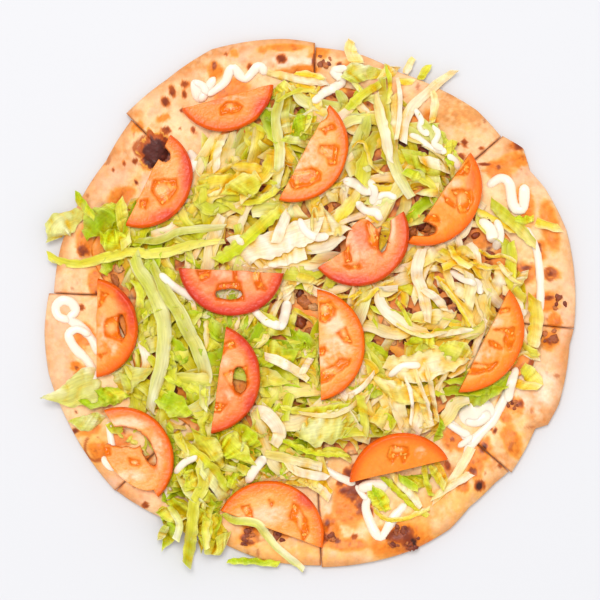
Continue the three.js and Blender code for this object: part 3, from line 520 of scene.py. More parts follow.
blister = {
    "place": (155, 151), "half": (10.8, 12.6), "rings": 34, "around": 110,
    # the ridge tone is a painted highlight on the charred wrinkles
    "tones": {"edge": "#f5ae46", "ember": "#b8561c", "char": "#5c2822", "ridgeHighlight": "#90472c", "pit": "#2c120e"},
}


def blisterPiece():
    # A burst bubble across a cut: a low dome whose middle has sunk and charred, with a ragged edge and
    # crisp wrinkles. It is a thin shell over the crust, closed along its edge.
    px, py = spot(*blister["place"])
    phi = np.linspace(0, 2 * np.pi, blister["around"], endpoint=False)[None, :]
    share = np.linspace(0.01, 1, blister["rings"])[:, None]
    ragged = 1 + 0.2 * unevenness(np.cos(phi) * 3, np.sin(phi) * 3, 1, 75) + 0.1 * unevenness(
        np.cos(phi) * 9, np.sin(phi) * 9, 1, 76)
    x = px + share * ragged * blister["half"][0] * np.cos(phi)
    y = py + share * ragged * blister["half"][1] * np.sin(phi)
    dough = withLumps(x, y, crustTop(x, y))
    wrinkle = 0.6 * grain(x, y, 5.2, 77) + 1.1 * (0.5 - np.abs(unevenness(x, y, 8, 78)))
    over = dough + 0.3 + (0.7 + np.maximum(wrinkle, -0.3)) * (1 - share ** 6)
    under = dough - 0.4 + 0 * share
    points = np.concatenate([np.stack([x, y, over], -1), np.stack([x, y, under], -1)[::-4]])
    burnt = 1 - ramp(share + 0.3 * grain(x, y, 5, 79) - 0.1 * np.cos(phi) + 0.12 * np.sin(phi), 0.7, 0.88)
    colours = painted(x.shape, blister["tones"], "edge", [
        ("ember", 1 - ramp(share + 0.22 * grain(x, y, 4, 80), 0.84, 1.0)),
        ("char", burnt),
        # painted highlight: lighter patches in the char stand for light on the wrinkles' ridges
        ("ridgeHighlight", 0.55 * burnt * ramp(grain(x, y, 4.5, 82), 0.1, 0.7)),
        ("pit", 0.7 * burnt * ramp(-grain(x, y, 5.5, 85), 0.1, 0.6)),
    ])
    below = painted((len(points) - len(x), x.shape[1]), bakedColours, "oil", [])
    attributes = {
        "bakedColour": np.concatenate([colours, below]).reshape(-1, 3),
        "oil": np.full(points[..., 0].size, 0.75),
    }
    faces = gridFaces(points.shape[0], points.shape[1], closed=True)
    points = points.reshape(-1, 3)
    makePiece("charredBlister", points, faces, baked, attributes, ["slice_1", "slice_2"])


for sliceName, sliceRim in slices.items():
    slicePiece(sliceName, sliceRim)
blisterPiece()
print("crust made")


# The tomato half slices: where the straight side's middle is, the direction in which the skin bulges, the
# straight side's length, the depth to the skin, how red it is from 0 to 1, and its lobes. A lobe is a chamber
# cut open right through ("cut") or flesh that stands out past the straight side ("core"). It has its place
# along and away from that side, its half sizes and its direction.
tomato = {
    "thickness": 6, "skinRound": 1.3, "cutRound": 0.45, "holeRound": 0.9, "gelDepth": 1.3, "columns": 104,
    "rows": 46, "seedLength": 1.1, "seedWidth": 0.65, "seedHeight": 0.45, "seedRoom": 13, "seedWet": 0.8,
}
tomatoSlices = [
    (-48.9, 123.3, -75, 55.9, 20.2, 0.3, []),
    (-96.3, 73.2, -26, 60.6, 25.6, 0.35, [("cut", -19.3, -2, 7.8, 4.2, 61)]),
    (-3.3, 90.3, -28, 63.9, 25.1, 0.15, [("cut", -22.5, -3.8, 7.2, 4.8, 148)]),
    (77, 63.1, -34.7, 66, 23.6, 0.1, [("cut", 22, 1, 9, 4.2, 120)]),
    (30.6, 38.1, -56.6, 61.1, 26.6, 0.6,
     [("core", 0, -1.2, 12, 7.2, 32), ("cut", -14.9, 4.1, 11.4, 2.7, 47)]),
    (-46.8, 19.8, -92.8, 61.9, 26.7, 0.85, [("cut", 0.8, 14.2, 7.2, 3, 3)]),
    (-126.6, -14.7, -0.6, 58.8, 24.3, 0.25, [("cut", -1.3, 15.2, 6.6, 1.8, 6)]),
    (-54.6, -45.6, -8.1, 63.6, 24.6, 0.65, [("cut", -1.5, 12.8, 7.2, 3.6, 13)]),
    (5.7, -24.9, 2.1, 66, 27, 0.05, []),
    (104.1, -22.2, -26.3, 67.6, 22.2, 0.05, []),
    (-107.1, -90.3, 32.1, 60.9, 24, 0.2, [
        ("core", 6, -3.5, 20, 9.5, 16), ("cut", -12, 0, 13, 6, 50), ("cut", 4, 9.5, 10, 2.8, 172)]),
    (-22.8, -135.6, 69.9, 64.5, 28.1, 0.1, []),
    (53.4, -99.6, 103.3, 59.8, 22.1, 0.2, []),
]
# What shows on each slice, in photo pixels: outlines of chambers that still hold gel, and ovals (middle and
# half sizes) of the paler core in them, of whitish wet flesh and of redder skin
tomatoMarks = [
    {"gel": [[(220, 108), (221, 114), (238, 113), (243, 107), (236, 102.5), (227, 102.5)]],
     "core": [(230, 106, 3, 2.2)], "white": [(232, 98, 12, 2)], "paleness": 0.35,
     "red": [(262, 106, 10, 9), (215, 100, 10, 4)]},
    {"gel": [[(154.5, 180.5), (177, 179), (178, 187), (170.5, 200.5), (162.5, 205), (157, 199), (151, 191)],
             [(141, 200), (148, 199), (146, 209), (140, 208)]],
     "core": [(162, 190, 5.5, 5.5)], "white": [(150, 184, 5, 4)],
     "red": [(186, 172, 7, 20), (163, 215, 12, 6)]},
    {"gel": [[(318.6, 129.5), (333.4, 124), (335.7, 128.4), (325.5, 134)],
             [(319.8, 145.5), (336.8, 144.3), (338, 149), (336.4, 164.8), (329, 164.8), (326.6, 158),
              (319.8, 153.4)],
             [(286.8, 172.7), (310.7, 168.2), (321, 174), (319.8, 180.7), (307.3, 187.5), (293.6, 190),
              (288, 179.5)]],
     "core": [(323, 151, 5, 3), (328, 156, 4, 2), (300, 173, 10, 2.4)],
     "white": [(304, 150, 12, 12), (296, 166, 10, 5), (312, 162, 8, 4)]},
    {"gel": [[(450, 176.4), (460.3, 169.6), (468.2, 161.6), (470, 170.7), (464.8, 176.4)],
             [(451.2, 190), (462.5, 188.5), (472.8, 191.2), (472.8, 202.5), (467, 211.6), (459.1, 212.8),
              (455.7, 206), (456.9, 198), (452.3, 193.5)],
             [(444.4, 198), (447.8, 198), (455.7, 206), (454.6, 208.2), (445.5, 202.5)],
             [(412.5, 214), (421.6, 209.4), (437.5, 216.2), (439.8, 221.9), (426.2, 221.9), (414.8, 218.4)]],
     "core": [(461, 199, 4, 5), (424, 213, 8, 2)], "white": [(440, 193, 7, 8), (452, 184, 8, 4)],
     "red": [(470, 182, 5, 12)]},
    {"gel": [[(364, 222), (372, 218), (380, 240), (378, 250), (370, 246)],
             [(343, 250), (350, 244), (352, 262), (345, 263)],
             [(343, 266), (359, 264.5), (360, 268), (346, 269)]],
     "core": [(372, 230, 3, 5)], "white": [(352, 240, 9, 10), (360, 254, 9, 7), (392, 228, 3, 14)],
     "red": [(365, 238, 12, 12), (350, 280, 22, 7)]},
    {"gel": [[(197.3, 271), (212, 269), (209.8, 277), (200.7, 282)],
             [(251.9, 272), (259.8, 270), (265.5, 289.5), (257.5, 289.5), (254, 280.5)],
             [(233.5, 271), (236.5, 271), (238, 284), (235, 284)],
             [(217, 284), (240, 282), (245.5, 301), (216.5, 300)]],
     "core": [(255, 276, 3, 4)], "white": [(224, 274, 8, 5), (243, 276, 6, 5)],
     "red": [(196, 300, 16, 10), (255, 302, 16, 9), (226, 312, 30, 6)]},
    {"gel": [[(101, 291), (109, 294.3), (105.6, 300), (98, 309)],
             [(104.5, 320.5), (114.7, 316), (126, 313), (127, 334), (121.5, 342), (113.6, 337.5),
              (105.6, 336.4)],
             [(97.7, 354.5), (106.8, 352.3), (101, 359)]],
     "core": [(111, 328, 4.5, 4.5)], "white": [(103, 330, 5, 16), (112, 348, 6, 6)],
     "red": [(124, 300, 9, 12), (130, 318, 6, 14)]},
    {"gel": [[(223, 343), (234.4, 340), (236, 347), (227.6, 350.4), (218, 360)],
             [(223, 373), (235.5, 368.6), (247, 365), (248.5, 383.4), (240, 396), (232, 388), (227.6, 378.8)],
             [(213, 401), (226.5, 404), (221, 412), (212, 411)]],
     "core": [(231, 378, 4.5, 5)], "white": [(224, 362, 6, 5), (228, 395, 6, 5)],
     "red": [(254, 350, 8, 18), (246, 338, 8, 8), (250, 400, 6, 10)]},
    {"gel": [[(320, 303), (331, 302), (335.6, 308.7), (334.5, 315.5), (325.4, 322.4), (319, 321)],
             [(336.7, 332.6), (345.8, 327), (349.2, 334.9), (351.5, 343), (343.5, 341.7)],
             [(319, 348), (324, 347), (326, 351), (324, 355), (319, 355)],
             [(320.8, 371.2), (333.3, 364.4), (339, 358.7), (350.4, 358.3), (348, 365.5), (336.7, 373.5),
              (327.6, 381.5), (319.7, 383)]],
     "core": [(324, 309, 3.5, 4), (344, 334, 2.5, 3), (330, 371, 8, 2.5)],
     "white": [(334, 325, 10, 12), (336, 347, 14, 12), (325, 361, 8, 6)]},
    {"gel": [[(495.8, 308.7), (510.5, 307.6), (509.4, 311), (499.2, 315)],
             [(490, 329.2), (515, 327), (514, 340), (509.4, 350), (502.6, 347.4), (504.2, 333.7)],
             [(487.8, 340.5), (492.4, 340.5), (502.6, 347.4), (501.5, 349.6), (490, 345.5)],
             [(462.8, 363.3), (469.6, 362), (483.3, 364.4), (497, 362), (492.4, 369), (478.7, 374.5),
              (465, 373)]],
     "core": [(499, 334, 4, 3), (478, 366, 6, 1.5)],
     "white": [(492, 322, 8, 5), (484, 352, 9, 8), (476, 358, 8, 3)],
    },
    {"gel": [[(129.5, 458), (140, 460), (142, 466), (130.7, 465)],
             [(103, 447), (111, 446), (110, 454), (102, 455)]],
     "core": [(135, 462, 2.5, 1.5)], "white": [(158, 445, 5, 22), (130, 422, 20, 5), (130, 475, 14, 5)]},
    {"gel": [[(240.7, 505), (249.8, 504), (252.5, 517), (245, 516)],
             [(269, 498.5), (273.7, 503), (271.4, 507.5)],
             [(293, 502), (299, 507), (307, 519), (309, 532.5), (303, 540), (298, 524), (290, 519)]],
     "core": [(246, 510, 2, 3), (300, 520, 2, 8)], "white": [(270, 515, 20, 8)], "red": [(305, 500, 12, 8)]},
    {"gel": [[(389, 446), (398.3, 444.5), (407.4, 447), (409, 454), (404, 463), (399.4, 455), (395, 456),
              (392.6, 463), (387.5, 456.4)]],
     "core": [(398, 450, 4, 1.8)], "white": [(400, 440, 12, 2.5), (420, 452, 5, 5)], "paleness": 0.25},
]


def tomatoFrame(number):
    # The solid's own plane gives the slice's tilt and height: its widest upright face has the normal, and
    # the lowest vertex along that normal is on the underside.
    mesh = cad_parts["tomato_%d" % number].data
    normals, areas = np.empty((len(mesh.polygons), 3)), np.empty(len(mesh.polygons))
    corners = np.empty((len(mesh.vertices), 3))
    mesh.polygons.foreach_get("normal", normals.ravel())
    mesh.polygons.foreach_get("area", areas)
    mesh.vertices.foreach_get("co", corners.ravel())
    up = normals[np.argmax(areas * (normals[:, 2] > 0.9))]
    up = up / np.linalg.norm(up)
    lowest = (corners @ up).min() * 1000
    x, y, turn = tomatoSlices[number - 1][:3]
    origin = np.array([x, y, (lowest - up[0] * x - up[1] * y) / up[2]])
    along = np.array([np.sin(np.radians(turn)), -np.cos(np.radians(turn)), 0])
    along[2] = -(along @ up) / up[2]
    along = along / np.linalg.norm(along)
    return origin, along, np.cross(up, along), up


tomatoFrames = [tomatoFrame(k + 1) for k in range(len(tomatoSlices))]


def lobeDistance(u, v, lobe, seed):  # signed distance to a chamber's wavy oval outline, negative inside
    cu, cv, long, wide, turn = lobe[1:]
    a, b = turned(u - cu, v - cv, np.radians(turn))
    a, b = a / long, b / wide
    wave = 0.12 * unevenness(u, v, 4.5, seed) + 0.05 * unevenness(u, v, 1.6, seed + 1)
    share = (np.abs(a) ** 2.3 + np.abs(b) ** 2.3) ** (1 / 2.3)
    return (share + wave - 1) * min(long, wide)


def toOpenEdges(u, v, lobes, seed):
    # Points just inside an open chamber move out to its edge. Also gives how deep each point lies in one.
    opened = np.full_like(u, 9.0)
    for lobe in lobes:
        if lobe[0] != "cut":
            continue
        distance = lobeDistance(u, v, lobe, seed)
        moved = (distance < 0.2) & (distance > -1.1)
        opened = np.minimum(opened, np.where(moved, 0, distance))
        for _ in range(3):
            left = lobeDistance(u, v, lobe, seed)
            slopeU = (lobeDistance(u + 0.05, v, lobe, seed) - left) / 0.05
            slopeV = (lobeDistance(u, v + 0.05, lobe, seed) - left) / 0.05
            step = np.where(moved, left / np.maximum(slopeU ** 2 + slopeV ** 2, 0.4), 0)
            u, v = u - slopeU * step, v - slopeV * step
    return np.stack([u, v], -1), opened


def straightSide(u, lobes, seed):
    # The straight side's own slight waves, pushed out by any lobe of core: that is a turned ellipse, and the
    # smaller root of its quadratic equation is its outer edge.
    side = 0.35 * unevenness(u, u * 0 + 3, 7, seed)
    for kind, cu, cv, long, wide, turn in lobes:
        if kind != "core":
            continue
        c, s = np.cos(np.radians(turn)), np.sin(np.radians(turn))
        a11 = (c / long) ** 2 + (s / wide) ** 2
        a12 = c * s * (1 / long ** 2 - 1 / wide ** 2)
        a22 = (s / long) ** 2 + (c / wide) ** 2
        inside = (a12 * (u - cu)) ** 2 - a22 * (a11 * (u - cu) ** 2 - 1)
        low = cv + (-a12 * (u - cu) - np.sqrt(np.maximum(inside, 0))) / a22
        side = np.where(inside > 0, np.minimum(side, low), side)
    return side


def toSlice(number, route):  # photo pixels to the slice's own plane
    origin, along, out, up = tomatoFrames[number - 1]
    flat = fromPhoto(route) - origin[:2] - tomato["thickness"] * up[:2]
    return np.linalg.solve(np.stack([along[:2], out[:2]], 1), flat.T).T


def outlineDistance(u, v, corners):  # distance to a closed outline of straight lines, negative inside
    inside, nearest = np.zeros(u.shape, bool), np.full(u.shape, 99.0)
    for (au, av), (bu, bv) in zip(corners, np.roll(corners, -1, 0)):
        eu, ev = bu - au, bv - av
        t = np.clip(((u - au) * eu + (v - av) * ev) / (eu ** 2 + ev ** 2), 0, 1)
        nearest = np.minimum(nearest, np.hypot(u - au - t * eu, v - av - t * ev))
        inside ^= ((av > v) != (bv > v)) & (u < (v - av) * eu / (ev + 1e-9) + au)
    return np.where(inside, -nearest, nearest)


def ovals(u, v, number, key, soft, seed):  # how far each point is inside any of a slice's ovals of that kind
    level = np.zeros_like(u)
    fray = 0.3 * grain(u, v, 3.6, seed)
    for px, py, long, wide in tomatoMarks[number - 1].get(key, []):
        middle, tipX, tipY = toSlice(number, [(px, py), (px + long, py), (px, py + wide)])
        a, b = np.linalg.solve(np.stack([tipX - middle, tipY - middle], 1), np.stack([
            (u - middle[0]).ravel(), (v - middle[1]).ravel()]))
        share = np.hypot(a, b).reshape(u.shape) + fray
        level = np.maximum(level, 1 - ramp(share, 1 - soft, 1 + soft))
    return level


fleshTones = {  # from a ripening slice to a fully ripe one
    "skin": ("#f26a06", "#bc2610"), "wall": ("#f4801c", "#de4a2c"), "inner": ("#f48e22", "#ea6430"),
    "pale": ("#f8aa58", "#f18e58"), "gel": ("#e87406", "#d85e04"),
}
# the bright gel tone is a painted highlight on the wet gel, and the gel line tone is painted shadow just
# inside a chamber's edge
wetTones = {
    "white": "#fccaa6", "redSkin": "#cc3420", "redFlesh": "#f0684a", "gelDeep": "#d2600a",
    "gelHighlight": "#f9ac3e", "gelEdgeShadow": "#cc5a0c", "gelCore": "#fabb74", "openEdge": "#d8501a",
    "skinWall": "#e4400c", "seed": "#f9ae4c",
}


def tomatoColour(u, v, toSkin, toGel, opened, number):
    # From the skin inwards: a saturated band, firm outer flesh, then paler clouded flesh with whitish wet
    # places. Chambers hold orange gel with lighter patches of painted highlight, a line of painted shadow
    # just inside their edge and a paler core, and the edges of open ones are red.
    redness, seed = tomatoSlices[number - 1][5], 300 + 10 * number
    tones = {key: mix(linear(low), linear(high), redness) for key, (low, high) in fleshTones.items()}
    cloudy, fine = grain(u, v, 6, seed + 5), grain(u, v, 2.2, seed + 6)

    def towards(colours, key, share):  # tints by the slice's own tones
        return colours + (tones[key] - colours) * share[..., None]

    colours = np.ones((*u.shape, 3)) * tones["inner"]
    inside = ramp(toSkin, 4, 9) * tomatoMarks[number - 1].get("paleness", 1)
    colours = towards(colours, "pale", inside * ramp(0.6 * cloudy + 0.2 * fine + 0.35 * inside, -0.2, 0.6))
    white = ovals(u, v, number, "white", 0.6, seed + 21)
    white = (0.85 - 0.3 * redness) * white * ramp(0.5 * cloudy + 0.5 * fine, -0.6, 0.2)
    colours = tint(colours, wetTones["white"], white)
    colours = towards(colours, "wall", 1 - ramp(toSkin + 1.4 * cloudy + 0.4 * fine, 2.6, 6))
    colours = towards(colours, "skin", 1 - ramp(toSkin + 0.5 * cloudy, 0.6, 3.4))
    red = ovals(u, v, number, "red", 0.5, seed + 22)
    colours = tint(colours, wetTones["redSkin"], 0.75 * red * (1 - ramp(toSkin, 2, 8)))
    colours = tint(colours, wetTones["redFlesh"], 0.45 * red * ramp(toSkin, 2, 8))
    gelShare = 1 - ramp(toGel + 0.5 * fine, -0.9, 0.6)
    gel = np.ones((*u.shape, 3)) * tones["gel"]
    # painted highlight in lighter patches on the gel, and painted shadow in a line just inside each chamber's
    # edge
    for key, share in (
        ("gelDeep", 0.7 * ramp(grain(u, v, 3.2, seed + 8), 0, 0.6)),
        ("gelHighlight", 0.75 * ramp(grain(u, v, 2.4, seed + 9), 0.1, 0.5)),
        ("gelEdgeShadow", 0.4 * np.exp(-((toGel + 0.5) / 0.7) ** 2)),
        ("gelCore", 0.75 * ovals(u, v, number, "core", 0.6, seed + 23)),
    ):
        gel = tint(gel, wetTones[key], share)
    colours = colours + (gel - colours) * gelShare[..., None]
    colours = tint(colours, wetTones["openEdge"], 0.5 * (1 - ramp(opened, 0, 1.2)))
    return colours, gelShare


def ballAngles(rings, around):  # the angles from the pole and round the axis for a ball's grid of points
    return np.meshgrid(np.linspace(0, np.pi, rings), np.linspace(0, 2 * np.pi, around, endpoint=False),
                       indexing="ij")


def seedsIn(number):
    # Seeds are small flattened drops that lie at random inside the chambers with gel.
    random = np.random.default_rng(300 + number)
    theta, phi = ballAngles(6, 8)
    drop = np.stack([
        np.cos(theta) * (1 + 0.15 * np.cos(theta)), np.sin(theta) * np.cos(phi), np.sin(theta) * np.sin(phi),
    ], -1).reshape(-1, 3) * [tomato["seedLength"], tomato["seedWidth"], tomato["seedHeight"]]
    points = []
    for outline in tomatoMarks[number - 1]["gel"]:
        corners = toSlice(number, outline)
        low, high = corners.min(0), corners.max(0)
        tries = random.uniform(low, high, (int(np.prod(high - low) / tomato["seedRoom"]) + 1, 2))
        kept = outlineDistance(tries[:, 0], tries[:, 1], corners) < -0.8
        for lobe in tomatoSlices[number - 1][6]:
            kept &= lobeDistance(tries[:, 0], tries[:, 1], lobe, 300 + 10 * number) > 1
        for su, sv in tries[kept]:
            lying = np.stack([*turned(drop[:, 0], drop[:, 1], -random.uniform(0, np.pi)), drop[:, 2]], 1)
            points.append(lying + [su, sv, tomato["thickness"] - tomato["gelDepth"] + 0.2])
    faces = gridFaces(6, 8, closed=True)
    if not points:
        return np.zeros((0, 3)), np.zeros((0, 4), int)
    return np.concatenate(points), repeated(faces, len(points), len(drop))


def tomatoMaterial():
    # Fresh cut tomato: wet, smooth and slightly see-through, glossier on the gel than on the flesh.
    material, tree = newMaterial("wetCutTomato")
    cells = noise(tree, 0.0022, 3, 0.6)
    gel = addNode(tree, "ShaderNodeAttribute", {"attribute_name": "gel"})
    shaded(tree, {"IOR": 1.36, "Subsurface Weight": 0.25, "Subsurface Radius": (0.0022, 0.0014, 0.0007),
                  "Subsurface Scale": 1.0},
           {"Base Color": toned(tree, "fleshColour", cells, 0.92, 1.08),
            "Roughness": ranged(tree, gel.outputs["Fac"], 0.0, 1.0, 0.27, 0.14),
            "Normal": bumpy(tree, cells, 0.6, 0.0007)})
    return material


wetTomato = tomatoMaterial()


def tomatoPiece(number):
    # A half slice is one closed grid: along it from corner to corner, and round its section over the top,
    # down the skin, back below and up the straight side. Where a chamber is open both faces sink to meet
    # half way, and the faces inside it are left out.
    chord, depth, _, lobes = tomatoSlices[number - 1][3:]
    seed = 300 + 10 * number
    thick = tomato["thickness"]
    half = chord / 2
    radius = (half ** 2 + depth ** 2) / (2 * depth)
    reach = np.arctan2(half, radius - depth)
    spread = np.linspace(-1, 1, tomato["columns"])
    spread = spread * (1.12 - 0.12 * spread ** 2)
    phi = reach * spread
    wobble = 1 + 0.008 * unevenness(phi * 40, phi * 0, 9, seed)
    skin = np.stack([radius * np.sin(phi) * wobble, depth - radius + radius * np.cos(phi) * wobble], 1)
    chordU = half * spread
    side = np.stack([chordU, straightSide(chordU, lobes, seed)], 1)
    t = np.linspace(0, 1, tomato["rows"])
    t = t - 0.055 * np.sin(2 * np.pi * t)
    flat = side[None] + (skin - side)[None] * t[:, None, None]
    flat, opened = toOpenEdges(flat[..., 0], flat[..., 1], lobes, seed)
    side, skin = flat[0], flat[-1]
    u, v = flat[..., 0], flat[..., 1]
    toSkin = np.maximum(radius - np.hypot(u, v - (depth - radius)), 0)
    toSide = np.maximum(v - straightSide(u, lobes, seed), 0)
    toGel = np.full_like(u, 9.0)
    for outline in tomatoMarks[number - 1]["gel"]:
        toGel = np.minimum(toGel, outlineDistance(u, v, toSlice(number, outline)))
    toGel = toGel + 0.6 * unevenness(u, v, 3, seed + 20) + 0.3 * unevenness(u, v, 1.5, seed + 19) - 0.3
    gelDrop = tomato["gelDepth"] * ramp(-toGel, -0.5, 1.3) - 0.6 * ramp(-toGel, 1.2, 3)

    def arch(distance, size):  # a quarter round: 0 at the edge, 1 from that distance in
        return np.sqrt(1 - (1 - np.clip(distance / size, 0, 1)) ** 2)

    skinRound = tomato["skinRound"] * (1 - arch(toSkin, tomato["skinRound"]))
    sideRound = tomato["cutRound"] * (1 - arch(toSide, tomato["cutRound"]))
    openShare = arch(opened, tomato["holeRound"])
    top = thick - skinRound - sideRound - gelDrop + 0.12 * grain(u, v, 5, seed + 3)
    bottom = skinRound + sideRound
    top, bottom = mix(thick / 2, top, openShare), mix(thick / 2, bottom, openShare)
    walls = np.array([0.25, 0.5, 0.75])[:, None]
    bulge = 0.55 * np.array([0.75, 1, 0.75])[:, None]
    outwards = np.stack([np.sin(phi), np.cos(phi)], -1)
    skinWall = skin[None] + outwards[None] * bulge[..., None]
    skinHeights = mix(top[-1][None], bottom[-1][None], walls)
    sideWall = np.repeat(side[None], 3, 0)
    sideHeights = mix(bottom[0][None], top[0][None], walls)
    plan = np.concatenate([flat, skinWall, flat[::-1], sideWall])
    heights = np.concatenate([top, skinHeights, bottom[::-1], sideHeights])
    shut = np.concatenate([opened, np.repeat(opened[-1:], 3, 0), opened[::-1], np.repeat(opened[:1], 3, 0)])
    colours, gelShare = tomatoColour(u, v, toSkin, toGel, opened, number)
    skinColours = np.repeat(tint(colours[-1:], wetTones["skinWall"], np.full((1, u.shape[1]), 0.5)), 3, 0)
    allColours = np.concatenate([colours, skinColours, colours[::-1], np.repeat(colours[:1], 3, 0)])
    gels = np.concatenate([gelShare, np.zeros((len(gelShare) + 6, u.shape[1]))])
    local = np.concatenate([plan, heights[..., None]], -1)
    rows, columns = heights.shape
    # the section closes on itself, so its first row follows its last one, and faces in a chamber go
    faces = gridFaces(columns, rows, closed=True)
    order = np.arange(rows * columns).reshape(rows, columns).T.ravel()
    faces = order[faces]
    faces = faces[(shut.ravel()[faces] > 0).any(1)]
    points = local.reshape(-1, 3)
    seedPoints, seedFaces = seedsIn(number)
    faces = np.concatenate([faces, seedFaces + len(points)])
    points = np.concatenate([points, seedPoints])
    seedColour = painted((len(seedPoints),), wetTones, "seed", [])
    origin, along, out, up = tomatoFrames[number - 1]
    placed = origin + points[:, :1] * along + points[:, 1:2] * out + points[:, 2:] * up
    attributes = {
        "fleshColour": np.concatenate([allColours.reshape(-1, 3), seedColour]),
        "gel": np.concatenate([gels.ravel(), np.full(len(seedPoints), tomato["seedWet"])]),
    }
    makePiece("tomatoSlice%d" % number, placed, faces, wetTomato, attributes,
              ["tomato_%d" % number], sharp=50)


for tomatoNumber in range(1, len(tomatoSlices) + 1):
    tomatoPiece(tomatoNumber)
print("tomatoes made")


# The heap: a map of heights on which shreds, meat and strands of sauce are laid one after another. Its
# values are in millimetres: a cell, how far the map reaches, how far the bed lies below the solid's top, how
# deep bands nest in each other, the space under a tomato slice, the slope beside it, and the highest place.

heap = {
    "cell": 1.25, "reach": 170, "bedDrop": 4.2, "nest": 0.35, "under": 0.3, "besideSlope": 1.3, "highest": 25,
}
mapAxis = np.arange(-heap["reach"], heap["reach"] + 0.1, heap["cell"])
mapX, mapY = np.meshgrid(mapAxis, mapAxis, indexing="ij")


def mapCells(x, y):  # the cells in which places lie
    last = len(mapAxis) - 1
    i = np.clip(np.rint((x + heap["reach"]) / heap["cell"]).astype(int), 0, last)
    return i, np.clip(np.rint((y + heap["reach"]) / heap["cell"]).astype(int), 0, last)


def liftMap(x, y, heights):  # the map rises to what lies there now
    np.maximum.at(ground, mapCells(x, y), heights)


def bedTop(x, y):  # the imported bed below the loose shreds
    inset = coreRadius(x, y) - np.hypot(x, y)
    packed = np.maximum(coreUnder(x, y) + 0.6, coreTop(x, y) - heap["bedDrop"] * ramp(inset, 0, 16))
    return packed + 0.7 * grain(x, y, 7, 81) * ramp(inset, 0, 8)


onBed = np.hypot(mapX, mapY) < coreRadius(mapX, mapY)
ground = withLumps(mapX, mapY, crustTop(mapX, mapY))
ground = np.where(onBed, bedTop(mapX, mapY), ground)
# Shreds stay below the tomato slices, and beside them may rise with the distance from their edge.
ceiling = np.full_like(ground, float(heap["highest"]))
tomatoTops = np.zeros_like(ground)
nearTomato = np.full_like(ground, 99.0)
for (tomatoOrigin, tomatoAlong, tomatoOut, tomatoUp), place in zip(tomatoFrames, tomatoSlices):
    halfChord, skinDepth = place[3] / 2, place[4]
    skinRadius = (halfChord ** 2 + skinDepth ** 2) / (2 * skinDepth)
    below = tomatoOrigin[2] - (
        (mapX - tomatoOrigin[0]) * tomatoUp[0] + (mapY - tomatoOrigin[1]) * tomatoUp[1]
    ) / tomatoUp[2]
    offset = np.stack([mapX - tomatoOrigin[0], mapY - tomatoOrigin[1], below - tomatoOrigin[2]], -1)
    mapU, mapV = offset @ tomatoAlong, offset @ tomatoOut
    beside = np.maximum(np.hypot(mapU, mapV - (skinDepth - skinRadius)) - skinRadius, -mapV)
    limit = below - heap["under"] + heap["besideSlope"] * np.maximum(beside - 0.6, 0)
    ceiling = np.minimum(ceiling, limit)
    nearTomato = np.minimum(nearTomato, beside)
    tomatoTops = np.where(beside < 0, np.maximum(tomatoTops, below + tomato["thickness"]), tomatoTops)


def spline(route):  # a smooth curve through the points of a route, with its length up to each point
    points = np.concatenate([2 * route[:1] - route[1:2], route, 2 * route[-1:] - route[-2:-1]])
    t = np.linspace(0, 1, 10, endpoint=False)[:, None]
    parts = []
    for k in range(len(route) - 1):
        a, b, c, d = points[k:k + 4]
        square = (2 * a - 5 * b + 4 * c - d) * t ** 2
        parts.append(0.5 * (2 * b + (c - a) * t + square + (3 * b - a - 3 * c + d) * t ** 3))
    fine = np.concatenate([*parts, route[-1:]])
    return fine, np.concatenate([[0], np.cumsum(np.hypot(*np.diff(fine, axis=0).T))])


def pointsOn(fine, length, a):  # places and directions at the lengths a, straight on past both ends
    slope = np.gradient(fine, axis=0)
    slope = slope / np.maximum(np.hypot(slope[:, 0], slope[:, 1]), 1e-6)[:, None]
    held = np.clip(a, 0, length[-1])
    tx, ty = np.interp(held, length, slope[:, 0]), np.interp(held, length, slope[:, 1])
    x = np.interp(held, length, fine[:, 0]) + tx * (a - held)
    return x, np.interp(held, length, fine[:, 1]) + ty * (a - held), tx, ty


def smoothed(values, times):  # each value drawn towards its two neighbours
    for _ in range(times):
        padded = np.concatenate([values[:1], values, values[-1:]])
        values = (padded[:-2] + 2 * padded[1:-1] + padded[2:]) / 4
    return values


# What bands of lettuce share unless their kind says otherwise: the mesh's grid, how strongly one side
# differs, how the wave of the edges drifts and gathers there, how ragged the outline and how deep the
# creases are, how uneven the wave is, how strongly painted shade darkens the folds, how blunt the ends are
# and how much of the length they take, and the tones of the less leafy side and of the edges, whose tone
# also warms the shade on them
bandForm = {
    "rows": 26, "columns": 6, "side": 0.7, "drift": 0, "frill": 1.6, "lobes": 0.12, "creases": 0,
    "patchy": 0.6, "foldShade": 0.5, "blunt": (0.55, 0.95), "endShare": 0.25, "lightSide": "#fbeecb",
    "edgeTone": "#f8e2a0",
}
